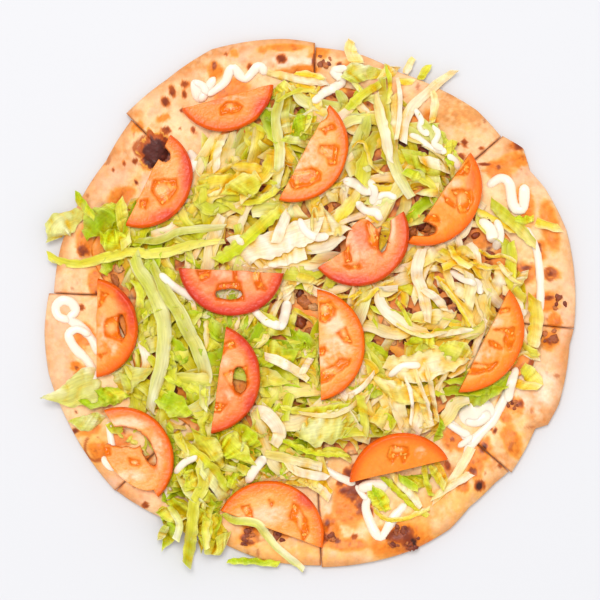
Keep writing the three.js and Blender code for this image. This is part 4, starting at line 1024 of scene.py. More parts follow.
# The kinds of lettuce: thickness, width and length in millimetres, lean in degrees, how the section bows and
# the edges wave, how crumpled they are, and sets of colours from one end over the middle to the other
kinds = {
    "rib": {
        "rows": 20, "columns": 5, "thick": 1.2, "wide": (3, 6.5), "long": (26, 56), "lean": 16, "bow": 0.22,
        "wave": 0.35, "waveLength": 15, "crumple": 0.35, "side": 0.3,
        "colours": [("#f9e0b8", "#fae8d2", "#f6dba4"), ("#f9deb8", "#fbead8", "#f8deb0"),
                    ("#f8dca4", "#fae4c2", "#fae8d4")],
    },
    "pale": {
        "thick": 0.75, "wide": (3, 9), "long": (26, 62), "lean": 40, "bow": 0.35, "wave": 1.1,
        "waveLength": 11, "crumple": 0.7, "side": 0.6,
        "colours": [("#f6da90", "#f9e3b6", "#eed66c"), ("#f4d782", "#fae6c2", "#fae4c8"),
                    ("#ead468", "#f7df9e", "#fae4c2")],
    },
    "mist": {
        "thick": 0.75, "wide": (3, 9), "long": (26, 60), "lean": 34, "bow": 0.35, "wave": 0.9,
        "waveLength": 12, "crumple": 0.6, "side": 0.6, "lightSide": "#f4eec2", "edgeTone": "#eeeab0",
        "colours": [("#dcd870", "#ece6a8", "#d0d04e"), ("#ced04c", "#e6e094", "#f0eabc"),
                    ("#c6c83e", "#dcd87a", "#eee6ac")],
    },
    "yellow": {
        "thick": 0.6, "wide": (2.8, 8), "long": (20, 50), "lean": 50, "bow": 0.4, "wave": 1.6,
        "waveLength": 8, "crumple": 1.0,
        "colours": [("#f6cf30", "#f8d648", "#fae08c"), ("#efc622", "#f8da58", "#fbe49c"),
                    ("#e4cc30", "#f6d84c", "#fae294")],
    },
    "lime": {
        "thick": 0.6, "wide": (3, 9), "long": (24, 56), "lean": 42, "bow": 0.4, "wave": 1.5, "waveLength": 9,
        "crumple": 0.9, "lightSide": "#f4ec96", "edgeTone": "#eee882",
        "colours": [("#d8d238", "#e4dc4c", "#f8e686"), ("#c6ce28", "#e6de52", "#fae894"),
                    ("#e2da4a", "#d6d232", "#c2ca22")],
    },
    "green": {
        "thick": 0.55, "wide": (3.5, 9.5), "long": (18, 44), "lean": 46, "bow": 0.45, "wave": 2.0,
        "waveLength": 7, "crumple": 1.2, "lightSide": "#eeee86", "edgeTone": "#e4e66c",
        "colours": [("#c4d41a", "#dcde30", "#f4ea5a"), ("#a6c612", "#ced628", "#eee644"),
                    ("#b8ce1c", "#a4bc12", "#d4dc36")],
    },
}
# Whole leaf pieces, those of the pale rib, and shreds that are followed from the photo
leafForm = {
    "rows": 50, "columns": 18, "wave": 2.1, "frill": 2.4, "drift": 4.5, "waveLength": 8, "crumple": 2.6,
    "creases": 2.4, "lobes": 0.34, "lean": 12, "bow": 0.2, "foldShade": 0.8, "blunt": (0.3, 0.6), "patchy": 1.1,
    "endShare": 0.38,
}
ribLeafForm = {
    **leafForm, "thick": 1.4, "wave": 0.5, "crumple": 0.6, "creases": 0.9, "side": 0.2, "blunt": (0.6, 0.9),
    "colours": [("#fdeaca", "#fff0dc", "#fde8c6")],
}
longForm = {"rows": 44, "columns": 8, "crumple": 0.7, "lean": 20}
lettuce = {kind: {"points": [], "colours": [], "fibres": []} for kind in [*kinds, "leaf", "longShred"]}


def layBand(group, kind, route, width, random, form=None, over=False, press=0.0):
    # A band follows its route with slanted cut ends. Its section leans by an angle that changes along it,
    # bows by the square of the distance from its middle, and its edges wave like a sine. Lattice noise in
    # two sizes crumples it, with creases where such noise is zero. It comes down on the map of heights,
    # bridging what lies lower, but stays under the ceiling unless it lies over the tomato slices.
    form = {**bandForm, **kinds[kind], **(form or {})}
    fine, length = spline(np.array(route, float))
    total = length[-1]
    seed = int(random.integers(1, 1 << 20))
    s = np.linspace(-1, 1, form["columns"] + 1)[None, :]
    t = np.linspace(0, 1, form["rows"])[:, None]
    blunt = random.uniform(*form["blunt"], 2)
    ends = form["endShare"]
    taper = np.minimum(mix(blunt[0], 1, ramp(t, 0, ends)), mix(blunt[1], 1, ramp(1 - t, 0, ends)))
    outer = np.where(s > 0, 20.0, 5.0)
    ragged = unevenness(t * total, outer, 9, seed) + 0.4 * unevenness(t * total, outer, 3, seed)
    lobed = form["lobes"] * ragged
    half = width / 2 * taper * (1 + lobed)
    cuts = random.uniform(-0.9, 0.9, 2)
    a = mix(-cuts[0] * s * width / 2, total + cuts[1] * s * width / 2, t)
    cx, cy, tx, ty = pointsOn(fine, length, a)
    leanStart = random.uniform(-0.8, 0.8)
    leanTurns = random.uniform(0.3, 1.1) * t + random.uniform()
    lean = np.radians(form["lean"]) * (leanStart + 0.7 * np.sin(2 * np.pi * leanTurns))
    across = s * half
    bowed = form["bow"] * random.uniform(-0.6, 1) * half * (s ** 2 - 0.4)
    phase, other = random.uniform(0, 6.28, 2)
    side = np.where(s > 0, 30.0, 9.0)
    beat = a / form["waveLength"] + 0.8 * unevenness(a, side, 13, seed + 6)
    drift = form["drift"] * unevenness(a, across, 6, seed + 8) + np.where(s > 0, phase, other)
    waved = form["wave"] * np.abs(s) ** form["frill"] * np.sin(2 * np.pi * beat + drift)
    waved = waved * (0.75 + form["patchy"] * unevenness(a, side + 2 * across, 10, seed + 7))
    ca, cb = 0.77 * a + 0.64 * across, 0.77 * across - 0.64 * a
    crumple = form["crumple"] * (unevenness(ca, cb, 6.5, seed) + 0.45 * unevenness(cb, ca, 2.9, seed + 1))
    crease = np.abs(unevenness(ca, cb, 10, seed + 4)) + 0.5 * np.abs(unevenness(cb, ca, 4.5, seed + 5))
    crumple = crumple + form["creases"] * (0.45 - crease)
    flat = across * np.cos(lean) - bowed * np.sin(lean) + 0.25 * waved
    rise = across * np.sin(lean) + bowed * np.cos(lean) + waved + crumple
    x, y = cx - ty * flat, cy + tx * flat
    i, j = mapCells(x, y)
    lying = np.maximum(ground[i, j], tomatoTops[i, j]) if over else ground[i, j]
    need = (lying - rise).max(1) + form["thick"] / 2
    soft = smoothed(np.maximum(np.maximum(need, np.roll(need, 1)), np.roll(need, -1)), 4)
    middle = np.maximum(smoothed(need, 2), soft - 1.5) - press
    if not over:
        middle = np.minimum(middle, (ceiling[i, j] - rise).min(1) - form["thick"] / 2)
        middle = smoothed(middle, 1)
    z = np.maximum(middle[:, None] + rise, form["thick"] / 2 + 0.1)
    centre = np.stack([x, y, z], -1)
    normal = np.cross(np.gradient(centre, axis=0), np.gradient(centre, axis=1))
    normal = normal / np.maximum(np.linalg.norm(normal, axis=-1), 1e-6)[..., None]
    endThin = 0.45 + 0.55 * np.sqrt(np.clip(np.sin(np.pi * t), 0, 1))
    thick = form["thick"] / 2 * (0.22 + 0.78 * np.sqrt(1 - 0.96 * s ** 2)) * endThin
    upper, lower = centre + normal * thick[..., None], centre - normal * thick[..., None]
    ring = np.concatenate([upper, lower[:, ::-1]], 1)
    # what lies on the map rises to just below this band's upper face
    between = [(centre[:-1] * (3 - k) + centre[1:] * k) / 3 for k in range(3)]
    fillX, fillY, fillZ = np.concatenate([c.reshape(-1, 3) for c in between]).T
    liftMap(fillX, fillY, fillZ + form["thick"] / 2 - heap["nest"])
    tones = form["colours"][int(random.integers(len(form["colours"])))]
    start, halfWay, end = [linear(tone) for tone in tones]
    where = np.clip(t + 0.18 * unevenness(a, across, 9, seed + 2) + 0.08 * s, 0, 1)[..., None]
    colour = np.where(where < 0.5, mix(start, halfWay, where * 2), mix(halfWay, end, where * 2 - 1))
    # one side is leafier and the other nearer to the rib, folds and hollows of the band get painted shade in
    # a deeper tone, and the edges have a yellower tone of their own that also warms the shade on them
    leafier = random.choice([-1, 1]) * ramp(np.abs(s), 0, 0.9) * np.sign(s)
    colour = tint(colour, tones[0], form["side"] * np.clip(leafier, 0, 1))
    colour = tint(colour, form["lightSide"], 0.5 * form["side"] * np.clip(-leafier, 0, 1))
    # painted shade: folds and hollows of the band turn towards its deepest tone
    colour = tint(colour, tones[0], ramp(-crumple - 0.4 * bowed, 0.1, 1.4) * form["foldShade"])
    # the edges' own yellower tone, which also warms the shade that falls on them
    colour = tint(colour, form["edgeTone"], 0.3 * ramp(np.abs(s) + 0 * a, 0.8, 1))
    colour = colour * (1 + 0.09 * unevenness(a * 0.15, across, 1.1, seed + 3))[..., None]
    colour = colour * random.uniform(0.86, 1.0)
    fibre = np.stack([a, across, np.full_like(a, seed % 977)], -1)
    target = lettuce[group]
    target["points"].append(ring)
    target["colours"].append(np.concatenate([colour, colour[:, ::-1]], 1))
    target["fibres"].append(np.concatenate([fibre, fibre[:, ::-1]], 1))


def leafMaterial():
    # Fresh lettuce: thin, moist and see-through to soft light, with fine pale fibres along each shred.
    material, tree = newMaterial("freshLettuce")
    fibre = addNode(tree, "ShaderNodeAttribute", {"attribute_name": "fibre"})
    stretched = addNode(tree, "ShaderNodeVectorMath", {"operation": "MULTIPLY", 1: (0.07, 1.05, 1.0)},
                        {0: fibre.outputs["Vector"]})
    lines = noise(tree, 1, 3, 0.55, stretched.outputs[0])
    shaded(tree, {"IOR": 1.4, "Roughness": 0.36, "Subsurface Weight": 0.62, "Subsurface Scale": 1.0,
                  "Subsurface Radius": (0.0016, 0.0016, 0.0016), "Specular IOR Level": 0.35},
           {"Base Color": toned(tree, "leafColour", lines, 0.88, 1.12),
            "Normal": bumpy(tree, lines, 0.55, 0.0006)})
    return material


freshLeaf = leafMaterial()
bed = {
    "around": 420, "rings": 95, "inset": 0.5, "edgeThick": 0.25, "clear": 0.05, "oil": 0.8,
    # the dark tone stands partly for browned cheese and partly for painted shade between the shreds
    "tones": {
        "cheese": "#f08c1e", "gold": "#f6ae42", "brown": "#bc5a18", "dark": "#6a2c12", "pale": "#f4ca88",
    },
}


def bedPiece():
    # The bed in the gaps is coloured like browned cheese, and its darkest patches are partly painted shade
    # between the shreds. Its rings run out over its top, down its edge and back along its underside.
    theta = np.linspace(0, 2 * np.pi, bed["around"], endpoint=False)[None, :]
    edge = coreRadius(np.cos(theta), np.sin(theta)) - bed["inset"]
    share = np.linspace(0.004, 1, bed["rings"])[:, None] ** 0.85
    x, y = share * edge * np.cos(theta), share * edge * np.sin(theta)
    top = bedTop(x, y)
    top[-1] = coreUnder(x[-1], y[-1]) + bed["edgeThick"]
    back = share[::-12]
    xb, yb = back * edge * np.cos(theta), back * edge * np.sin(theta)
    under = np.stack([xb, yb, coreUnder(xb, yb) + bed["clear"]], -1)
    points = np.concatenate([np.stack([x, y, top], -1), under])
    rough, fine = grain(points[..., 0], points[..., 1], 9, 83), grain(points[..., 0], points[..., 1], 3.5, 84)
    # the dark patches are partly painted shade in the gaps between the shreds
    colours = painted(rough.shape, bed["tones"], "cheese", [
        ("gold", ramp(rough, 0, 0.6)), ("pale", 0.8 * ramp(-rough + 0.4 * fine, 0.25, 0.8)),
        ("brown", ramp(fine + 0.3 * rough, 0.05, 0.45)), ("dark", ramp(fine - 0.3 * rough, 0.4, 0.8)),
    ])
    faces = gridFaces(points.shape[0], points.shape[1], closed=True)
    attributes = {"bakedColour": colours.reshape(-1, 3), "oil": np.full(rough.size, bed["oil"])}
    makePiece("cheeseBed", points.reshape(-1, 3), faces, baked, attributes, ["lettuce"])


bedPiece()
print("bed made")


# Pieces of browned meat: places in photo pixels with size in millimetres, then many on the bed by rule. How
# oval, flat and lumpy they are, and how far they rise and sink in, are shares of their size or millimetres.
meat = {
    "scattered": 260, "reach": 130, "cluster": 6, "size": (2.4, 4.6), "oval": (0.55, 0.9),
    "flat": (0.35, 0.5), "lumpy": 0.42, "crustFlat": 0.55, "rise": 0.12, "sink": 0.2,
    "colours": ("#8e3e18", "#b4642c", "#6a2c14", "#d09a66", "#7e341a"),
    "crustColours": ("#9a4a1c", "#b8642a", "#8a3c18", "#7a3018"),
    "places": [
        (281, 534, 5.2), (272, 462, 5), (548, 334, 5.5), (326, 60, 4.4), (560, 302, 4.5), (401, 533, 5),
        (392, 541, 4.4), (412, 543, 4.6), (330, 537, 4), (250, 536, 4.2), (244, 541, 3), (516, 405, 3.4),
        (505, 402, 3), (337, 249, 4), (256, 226, 4), (268, 235, 3.6), (229, 245, 4), (297, 231, 3),
        (324, 208, 3.4), (304, 302, 4.4), (313, 307, 3.6), (300, 322, 4), (286, 317, 3.6), (309, 331, 3.2),
        (278, 352, 3.2), (424, 226, 4.4), (413, 232, 4), (434, 236, 3.6), (272, 297, 4), (281, 305, 3.4),
        (374, 485, 3.4), (366, 472, 3.2), (450, 300, 3.4), (460, 310, 3), (468, 255, 3.2), (440, 290, 3),
        (395, 230, 3), (350, 100, 3.4), (333, 92, 3), (312, 96, 3.2), (300, 108, 3), (262, 160, 3.4),
    ],
}


def meatMaterial():
    # Browned meat: a rough, crusted surface with a thin gloss of fat.
    material, tree = newMaterial("brownedMeat")
    crumbs = noise(tree, 0.0011, 4, 0.65)
    shaded(tree, {"IOR": 1.45, "Roughness": 0.42},
           {"Base Color": toned(tree, "meatColour", crumbs, 0.6, 1.35),
            "Normal": bumpy(tree, crumbs, 0.7, 0.0005)})
    return material


def outsideCore(x, y):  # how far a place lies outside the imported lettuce
    return np.hypot(x, y) - coreRadius(np.array(x), np.array(y))


def meatPiece():
    # Each piece is a ball pressed flat, turned, and roughened by unevenness along its own directions.
    random = np.random.default_rng(11)
    theta, phi = ballAngles(8, 11)
    ball = np.stack([np.sin(theta) * np.cos(phi), np.sin(theta) * np.sin(phi), np.cos(theta)], -1)
    ball = ball.reshape(-1, 3)
    places = []
    for px, py, size in meat["places"]:
        x, y = spot(px, py)
        if outsideCore(x, y) < 0:
            places.append((x, y, size))
        else:  # on the crust each is a cluster of small bits
            spread = random.uniform(-0.8, 0.8, (meat["cluster"], 2)) * size
            places += [(x + dx, y + dy, size * random.uniform(0.3, 0.55)) for dx, dy in spread]
    fixed = len(places)
    while len(places) < fixed + meat["scattered"]:
        px, py = random.uniform(-meat["reach"], meat["reach"], 2)
        if outsideCore(px, py) < -3:
            places.append((px, py, random.uniform(*meat["size"])))
    points, colours = [], []
    for k, (px, py, size) in enumerate(places):
        rough = unevenness(ball[:, 0] * 3 + k * 7, ball[:, 1] * 3 + ball[:, 2] * 2, 1.3, 90 + k)
        onCrust = outsideCore(px, py) > 0
        shape = ball * (1 + meat["lumpy"] * rough)[:, None] * size
        shape = shape * [1, random.uniform(*meat["oval"]), random.uniform(*meat["flat"])]
        if onCrust:
            shape = shape * [1, 1, meat["crustFlat"]]
        turn = random.uniform(0, np.pi)
        c, s = np.cos(turn), np.sin(turn)
        x, y = px + shape[:, 0] * c - shape[:, 1] * s, py + shape[:, 0] * s + shape[:, 1] * c
        i, j = mapCells(x, y)
        base = ground[i, j].mean() + meat["rise"] * size
        z = base + shape[:, 2]
        points.append(np.stack([x, y, np.minimum(z, ceiling[i, j])], -1))
        liftMap(x, y, z - meat["sink"])
        tones = meat["crustColours"] if onCrust else meat["colours"]
        colours.append(np.ones((len(ball), 3)) * linear(tones[int(random.integers(len(tones)))]))
    faces = repeated(gridFaces(8, 11, closed=True), len(points), len(ball))
    attributes = {"meatColour": np.concatenate(colours)}
    makePiece("meatPieces", np.concatenate(points), faces, meatMaterial(), attributes, ["lettuce"])


meatPiece()
print("meat made")


# Strands of mayonnaise, as routes in photo pixels with their width in millimetres, on the crust first and
# then on the lettuce
mayonnaise = {
    "roundness": 0.33, "widestRound": 5.5, "rise": 0.1, "sink": 0.2, "wander": 0.5, "ring": 12, "step": 1.1,
    "endShare": 0.35, "colour": "#f6e8d4",
    "onCrust": [
        (7.0, [(195, 83), (197, 91), (199, 98)]), (5.5, [(213, 79), (207, 88), (201, 99)]),
        (4.5, [(196, 82), (203, 86), (206, 93)]),
        (4.5, [(209.5, 93.5), (224.5, 82), (232, 67.5), (244.5, 78.5), (257, 66), (264.5, 72)]),
        (4.6, [(68, 320), (58, 316), (55.5, 307), (62, 301), (71, 303), (74.5, 311), (69, 319), (80, 328),
               (90, 338), (99, 353)]),
        (4.5, [(88, 334), (77, 329), (68, 335), (73, 347), (84, 358), (90, 368), (92.5, 379)]),
        (4.5, [(511, 382), (506, 396), (493, 420), (473, 442), (466, 454)]),
        (4.6, [(372, 492), (366, 510), (379.5, 537.5), (394, 517), (404, 506)]),
        (4.0, [(328, 471.5), (334.5, 475), (342, 478)]), (3.2, [(357, 487), (361, 493.5), (366, 499)]),
        (3.6, [(450, 421), (459.5, 430), (469.5, 443.5)]),
        (5.0, [(490, 184.5), (501, 178), (509.5, 183.5), (513.5, 205), (523, 208.5), (524, 187)]),
        (3.8, [(528, 229), (537, 250), (540.5, 283.5), (539.5, 316)]),
        (4.2, [(447, 423), (458, 430), (468, 436)]), (3.6, [(460, 446), (466, 442), (471, 437)]),
        (3.8, [(468, 474), (464, 479), (459, 483)]), (15.0, [(468, 416), (477, 411), (486, 413)]),
        (6.0, [(469, 422), (479, 421), (488, 414)]),
        (7.0, [(362, 488), (372, 486), (384, 488)]), (4.0, [(325, 469), (338, 477), (353, 484)]),
        (5.0, [(104, 459), (108, 464), (113, 468)]), (5.0, [(121, 472), (127, 477), (133, 481)]),
        (3.6, [(108, 424), (110, 438), (112, 450)]), (5.0, [(165, 486), (168, 492), (170, 498)]),
    ],
    "onLettuce": [
        (4.6, [(344, 68), (333, 71), (342, 80), (336, 87), (325, 91), (314, 101)]),
        (3.4, [(416, 110), (421, 120), (420, 128), (427, 135)]),
        (3.4, [(411, 135), (420, 139), (430, 148), (444, 152)]),
        (3.4, [(434, 126), (438, 134), (434, 144), (441, 150)]), (4.0, [(449, 156), (455, 162), (458, 167)]),
        (5.5, [(346, 181), (356, 184), (364, 190), (374, 191)]),
        (4.6, [(358, 204), (366, 211), (376, 213), (380, 219)]),
        (4.0, [(162, 275), (176, 288), (192, 298)]), (4.4, [(254, 310), (266, 321), (280, 327)]),
        (5.2, [(281, 327), (284, 318), (287, 304)]), (4.8, [(248, 481), (254, 470), (263, 459)]),
        (3.8, [(176, 472), (184, 463), (195, 457)]), (4.0, [(300, 221), (306, 232), (316, 238), (326, 237)]),
        (4.6, [(516, 370), (511, 384), (508, 400)]), (6.0, [(482, 222), (490, 230), (492, 240)]),
        (4.0, [(452, 272), (463, 279), (476, 284), (480, 292)]), (4.6, [(190, 152), (194, 160), (192, 170)]),
        (4.5, [(497, 222), (500, 234), (496, 248)]), (3.4, [(390, 375), (402, 366), (418, 366)]),
        (4.0, [(370, 182), (374, 192), (372, 203)]), (3.6, [(376, 198), (386, 194), (394, 198)]),
    ],
}


def sauceMaterial():
    # Mayonnaise: thick, opaque off-white with a soft inner glow and a smooth wet sheen.
    material, tree = newMaterial("thickMayonnaise")
    shaded(tree, {"Base Color": (*linear(mayonnaise["colour"]), 1), "IOR": 1.45, "Roughness": 0.28,
                  "Subsurface Weight": 0.3, "Subsurface Radius": (0.0016, 0.0016, 0.0014),
                  "Subsurface Scale": 1.0}, {"Normal": bumpy(tree, noise(tree, 0.003, 2), 0.25, 0.0006)})
    return material


def strand(route, width, seed):
    # A flattened tube with rounded ends, thicker and thinner along its way, that lies on the map of heights.
    fine, length = spline(fromPhoto(route))
    past = mayonnaise["endShare"] * width
    total = length[-1] + 2 * past
    rows = max(8, int(total / mayonnaise["step"]))
    t = (1 - np.cos(np.linspace(0, np.pi, rows))) / 2 * 0.35 + np.linspace(0, 1, rows) * 0.65
    a = t * total - past
    x, y, tx, ty = pointsOn(fine, length, a)
    x = x + mayonnaise["wander"] * unevenness(a, a * 0, 9, seed)
    y = y + mayonnaise["wander"] * unevenness(a, a * 0 + 9, 9, seed)
    near = np.minimum(a + past, total - past - a)
    endRound = np.sqrt(1 - (1 - np.clip(near / (0.8 * width), 0.02, 1)) ** 2)
    fuller = 0.3 * unevenness(a, a * 0, 8, seed + 1)
    half = width / 2 * (1.05 + fuller + 0.16 * unevenness(a, a * 0, 3.4, seed + 2)) * endRound
    tall = mayonnaise["roundness"] * min(width, mayonnaise["widestRound"]) * endRound
    tall = tall * (1 + 0.1 * unevenness(a, a * 0, 8, seed + 3))
    i, j = mapCells(x, y)
    lying = smoothed(np.maximum(ground[i, j], smoothed(ground[i, j], 3)), 3)
    around = np.linspace(0, 2 * np.pi, mayonnaise["ring"], endpoint=False)[None, :]
    aside = half[:, None] * np.cos(around)
    points = np.stack([
        x[:, None] - ty[:, None] * aside, y[:, None] + tx[:, None] * aside,
        (lying + mayonnaise["rise"])[:, None] + tall[:, None] * np.sin(around),
    ], -1)
    liftMap(points[..., 0], points[..., 1], points[..., 2] - mayonnaise["sink"])
    return points.reshape(-1, 3), tubeFaces(rows, mayonnaise["ring"])


def strands(name, routes, seed):  # several strands as one piece
    points, faces, reached = [], [], 0
    for k, (width, route) in enumerate(routes):
        part, quads = strand(route, width, seed + 7 * k)
        points.append(part)
        faces.append(quads + reached)
        reached += len(part)
    makePiece(name, np.concatenate(points), np.concatenate(faces), thickSauce, {}, ["lettuce"],
              merge=0)


thickSauce = sauceMaterial()
strands("crustSauce", mayonnaise["onCrust"], 500)


# Which kind of lettuce lies where: soft circles in photo pixels with a radius, and the shares of rib, pale,
# mist, yellow, lime and green
kindShares = [
    (90, 222, 42, 0, 0, 1, 0, 3, 6), (110, 250, 30, 0, 0, 3, 0, 4, 4), (150, 262, 50, 0, 1, 4, 0, 4, 1),
    (90, 400, 50, 0, 0, 2, 0, 4, 4), (150, 335, 45, 0, 0, 3, 0, 5, 3), (190, 400, 50, 0, 0, 3, 0, 4, 5),
    (255, 345, 48, 0, 1, 0, 0, 5, 5), (225, 445, 40, 0, 0, 1, 0, 3, 7), (200, 500, 48, 0, 0, 1, 0, 4, 6),
    (255, 466, 34, 2, 7, 0, 2, 0, 0), (280, 400, 35, 0, 2, 3, 0, 4, 1), (320, 435, 45, 0, 4, 0, 0, 4, 2),
    (300, 475, 35, 2, 4, 0, 1, 3, 0), (240, 185, 34, 0, 0, 2, 4, 5, 0), (222, 150, 22, 0, 5, 3, 1, 0, 0),
    (280, 95, 34, 0, 0, 4, 2, 4, 0), (300, 128, 26, 0, 0, 3, 0, 3, 4), (355, 75, 34, 0, 0, 4, 3, 4, 0),
    (340, 120, 34, 2, 4, 4, 0, 3, 0), (400, 110, 50, 2, 4, 4, 0, 3, 0), (400, 165, 30, 0, 4, 4, 0, 4, 0),
    (360, 200, 40, 1, 5, 0, 4, 0, 0), (270, 255, 45, 5, 5, 0, 0, 1, 0), (320, 225, 35, 1, 6, 0, 3, 0, 0),
    (300, 300, 30, 0, 5, 0, 2, 3, 0), (400, 280, 45, 3, 6, 0, 2, 0, 0), (455, 262, 35, 0, 3, 0, 6, 2, 0),
    (515, 235, 45, 0, 5, 0, 4, 3, 0), (500, 290, 30, 3, 6, 0, 0, 0, 0), (450, 330, 40, 2, 5, 0, 0, 3, 0),
    (420, 370, 55, 3, 7, 0, 0, 1, 0), (520, 350, 40, 0, 3, 0, 5, 4, 0), (480, 385, 35, 0, 3, 0, 0, 4, 3),
    (400, 430, 45, 0, 4, 0, 0, 5, 2), (420, 480, 40, 0, 1, 0, 0, 4, 5),
]

# Places that all but the first shreds keep clear of, so that the bed and the meat show: photo pixels and a
# radius
gaps = [
    (268, 236, 4), (256, 228, 4), (229, 244, 4.5), (297, 231, 3), (337, 248, 5), (324, 208, 4),
    (278, 352, 4), (304, 301, 6), (316, 307, 4), (286, 318, 4), (298, 322, 5), (309, 331, 4), (414, 231, 6),
    (430, 229, 6), (374, 485, 4), (272, 300, 4), (308, 410, 3), (368, 248, 4), (384, 232, 3), (450, 300, 4),
    (461, 310, 3), (262, 160, 4), (300, 108, 3), (350, 98, 3), (333, 92, 3), (442, 290, 3), (213, 120, 3),
    (330, 175, 3), (128, 300, 4), (118, 285, 3), (180, 262, 4), (205, 300, 4), (150, 380, 4), (182, 392, 3),
    (140, 250, 3), (108, 250, 3), (246, 400, 3), (388, 345, 4), (352, 375, 4), (470, 345, 4), (500, 258, 4),
    (474, 232, 4), (426, 150, 4), (372, 160, 4), (365, 140, 3), (345, 150, 3), (245, 478, 3), (182, 482, 3),
    (216, 486, 3), (360, 440, 3), (396, 460, 3), (338, 462, 3), (410, 200, 4), (395, 215, 4), (350, 195, 3),
    (290, 190, 3), (397, 274, 3.5), (410, 284, 3), (394, 297, 3.5), (414, 306, 3), (401, 342, 3.5),
    (396, 359, 3), (460, 319, 3.5), (430, 286, 3), (380, 262, 3.5), (372, 300, 3), (384, 318, 3),
    (378, 335, 3), (270, 462, 3), (336, 470, 3.5),
]
fill = {
    "shreds": 560, "tries": 7, "curl": 1.3, "stack": 3.6, "edgeMargin": 4, "growth": (0.75, 1.3),
    "gapsFrom": 60, "gapGrowth": 1.5, "hiddenMost": 0.75, "hiddenCost": 2.5, "leastShare": 0.02, "past": 3,
    "bend": 0.6, "calm": (1.1, 0.7),
}
gapPlaces = [(*spot(px, py), fill["gapGrowth"] * radius * photo["pixelSize"]) for px, py, radius in gaps]
kindPlaces = [
    (*spot(px, py), radius * photo["pixelSize"], np.array(shares)) for px, py, radius, *shares in kindShares
]
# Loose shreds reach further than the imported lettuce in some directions, above all down and to the left
shredReach = coreRadii + np.array([0] * 13 + [2, 4, 22, 34, 20, 14, 0, 0, 4, 4, 0])


def reachAt(x, y):  # how far from the middle loose shreds lie, in that direction
    return radiusOf(shredReach, x, y)


def kindAt(x, y, random):  # a kind drawn with the shares of the circles near that place
    weights = np.full(len(kinds), fill["leastShare"])
    for px, py, radius, shares in kindPlaces:
        near = np.exp(-(((x - px) ** 2 + (y - py) ** 2) / radius ** 2))
        weights += near * shares / shares.sum()
    return list(kinds)[int(random.choice(len(kinds), p=weights / weights.sum()))]


def inGap(x, y):  # whether any of the places lies in a gap
    return any((np.hypot(x - px, y - py) < radius).any() for px, py, radius in gapPlaces)


def fillHeap():
    # Each shred takes the lowest of several random places, so that the heap stays level. Shreds get wider,
    # longer and flatter from the first to the last.
    random = np.random.default_rng(5)
    laid = 0
    while laid < fill["shreds"]:
        best = None
        for _ in range(fill["tries"]):
            angle, share = random.uniform(0, 2 * np.pi), np.sqrt(random.uniform())
            edge = reachAt(np.cos(angle), np.sin(angle)) + fill["past"]
            px, py = share * edge * np.cos(angle), share * edge * np.sin(angle)
            kind = kindAt(px, py, random)
            growth = mix(*fill["growth"], laid / fill["shreds"])
            halfLong = random.uniform(*kinds[kind]["long"]) / 2 * growth
            # a route that turns more and more one way, or first one way and then the other
            heading, turns = random.uniform(0, 2 * np.pi), random.uniform(-1, 1, 2) * fill["curl"]
            way = heading + np.array([0, turns[0], turns[0] * 1.5, turns[0] + turns[1]]) * fill["bend"]
            steps = np.stack([np.cos(way), np.sin(way)], 1) * halfLong / 2
            route = np.concatenate([[[0, 0]], np.cumsum(steps, 0)])
            route = route - route.mean(0) + [px, py]
            x, y = spline(route)[0].T
            i, j = mapCells(x, y)
            over = (np.hypot(x, y) - reachAt(x, y)).max()
            hidden = (nearTomato[i, j] < -1).mean()
            if over > fill["edgeMargin"] or hidden > fill["hiddenMost"]:
                continue
            if laid > fill["gapsFrom"] and inGap(x, y):
                continue
            rise = (ground[i, j] - coreTop(x, y)).max() + fill["hiddenCost"] * hidden
            if best is None or rise < best[0]:
                best = (rise, kind, route)
        if best is None:
            continue
        laid += 1
        rise, kind, route = best
        width = random.uniform(*kinds[kind]["wide"]) * mix(*fill["growth"], laid / fill["shreds"])
        calm = {"lean": kinds[kind]["lean"] * mix(*fill["calm"], laid / fill["shreds"])}
        layBand(kind, kind, route, width, random, calm, press=max(0.0, rise - fill["stack"]))


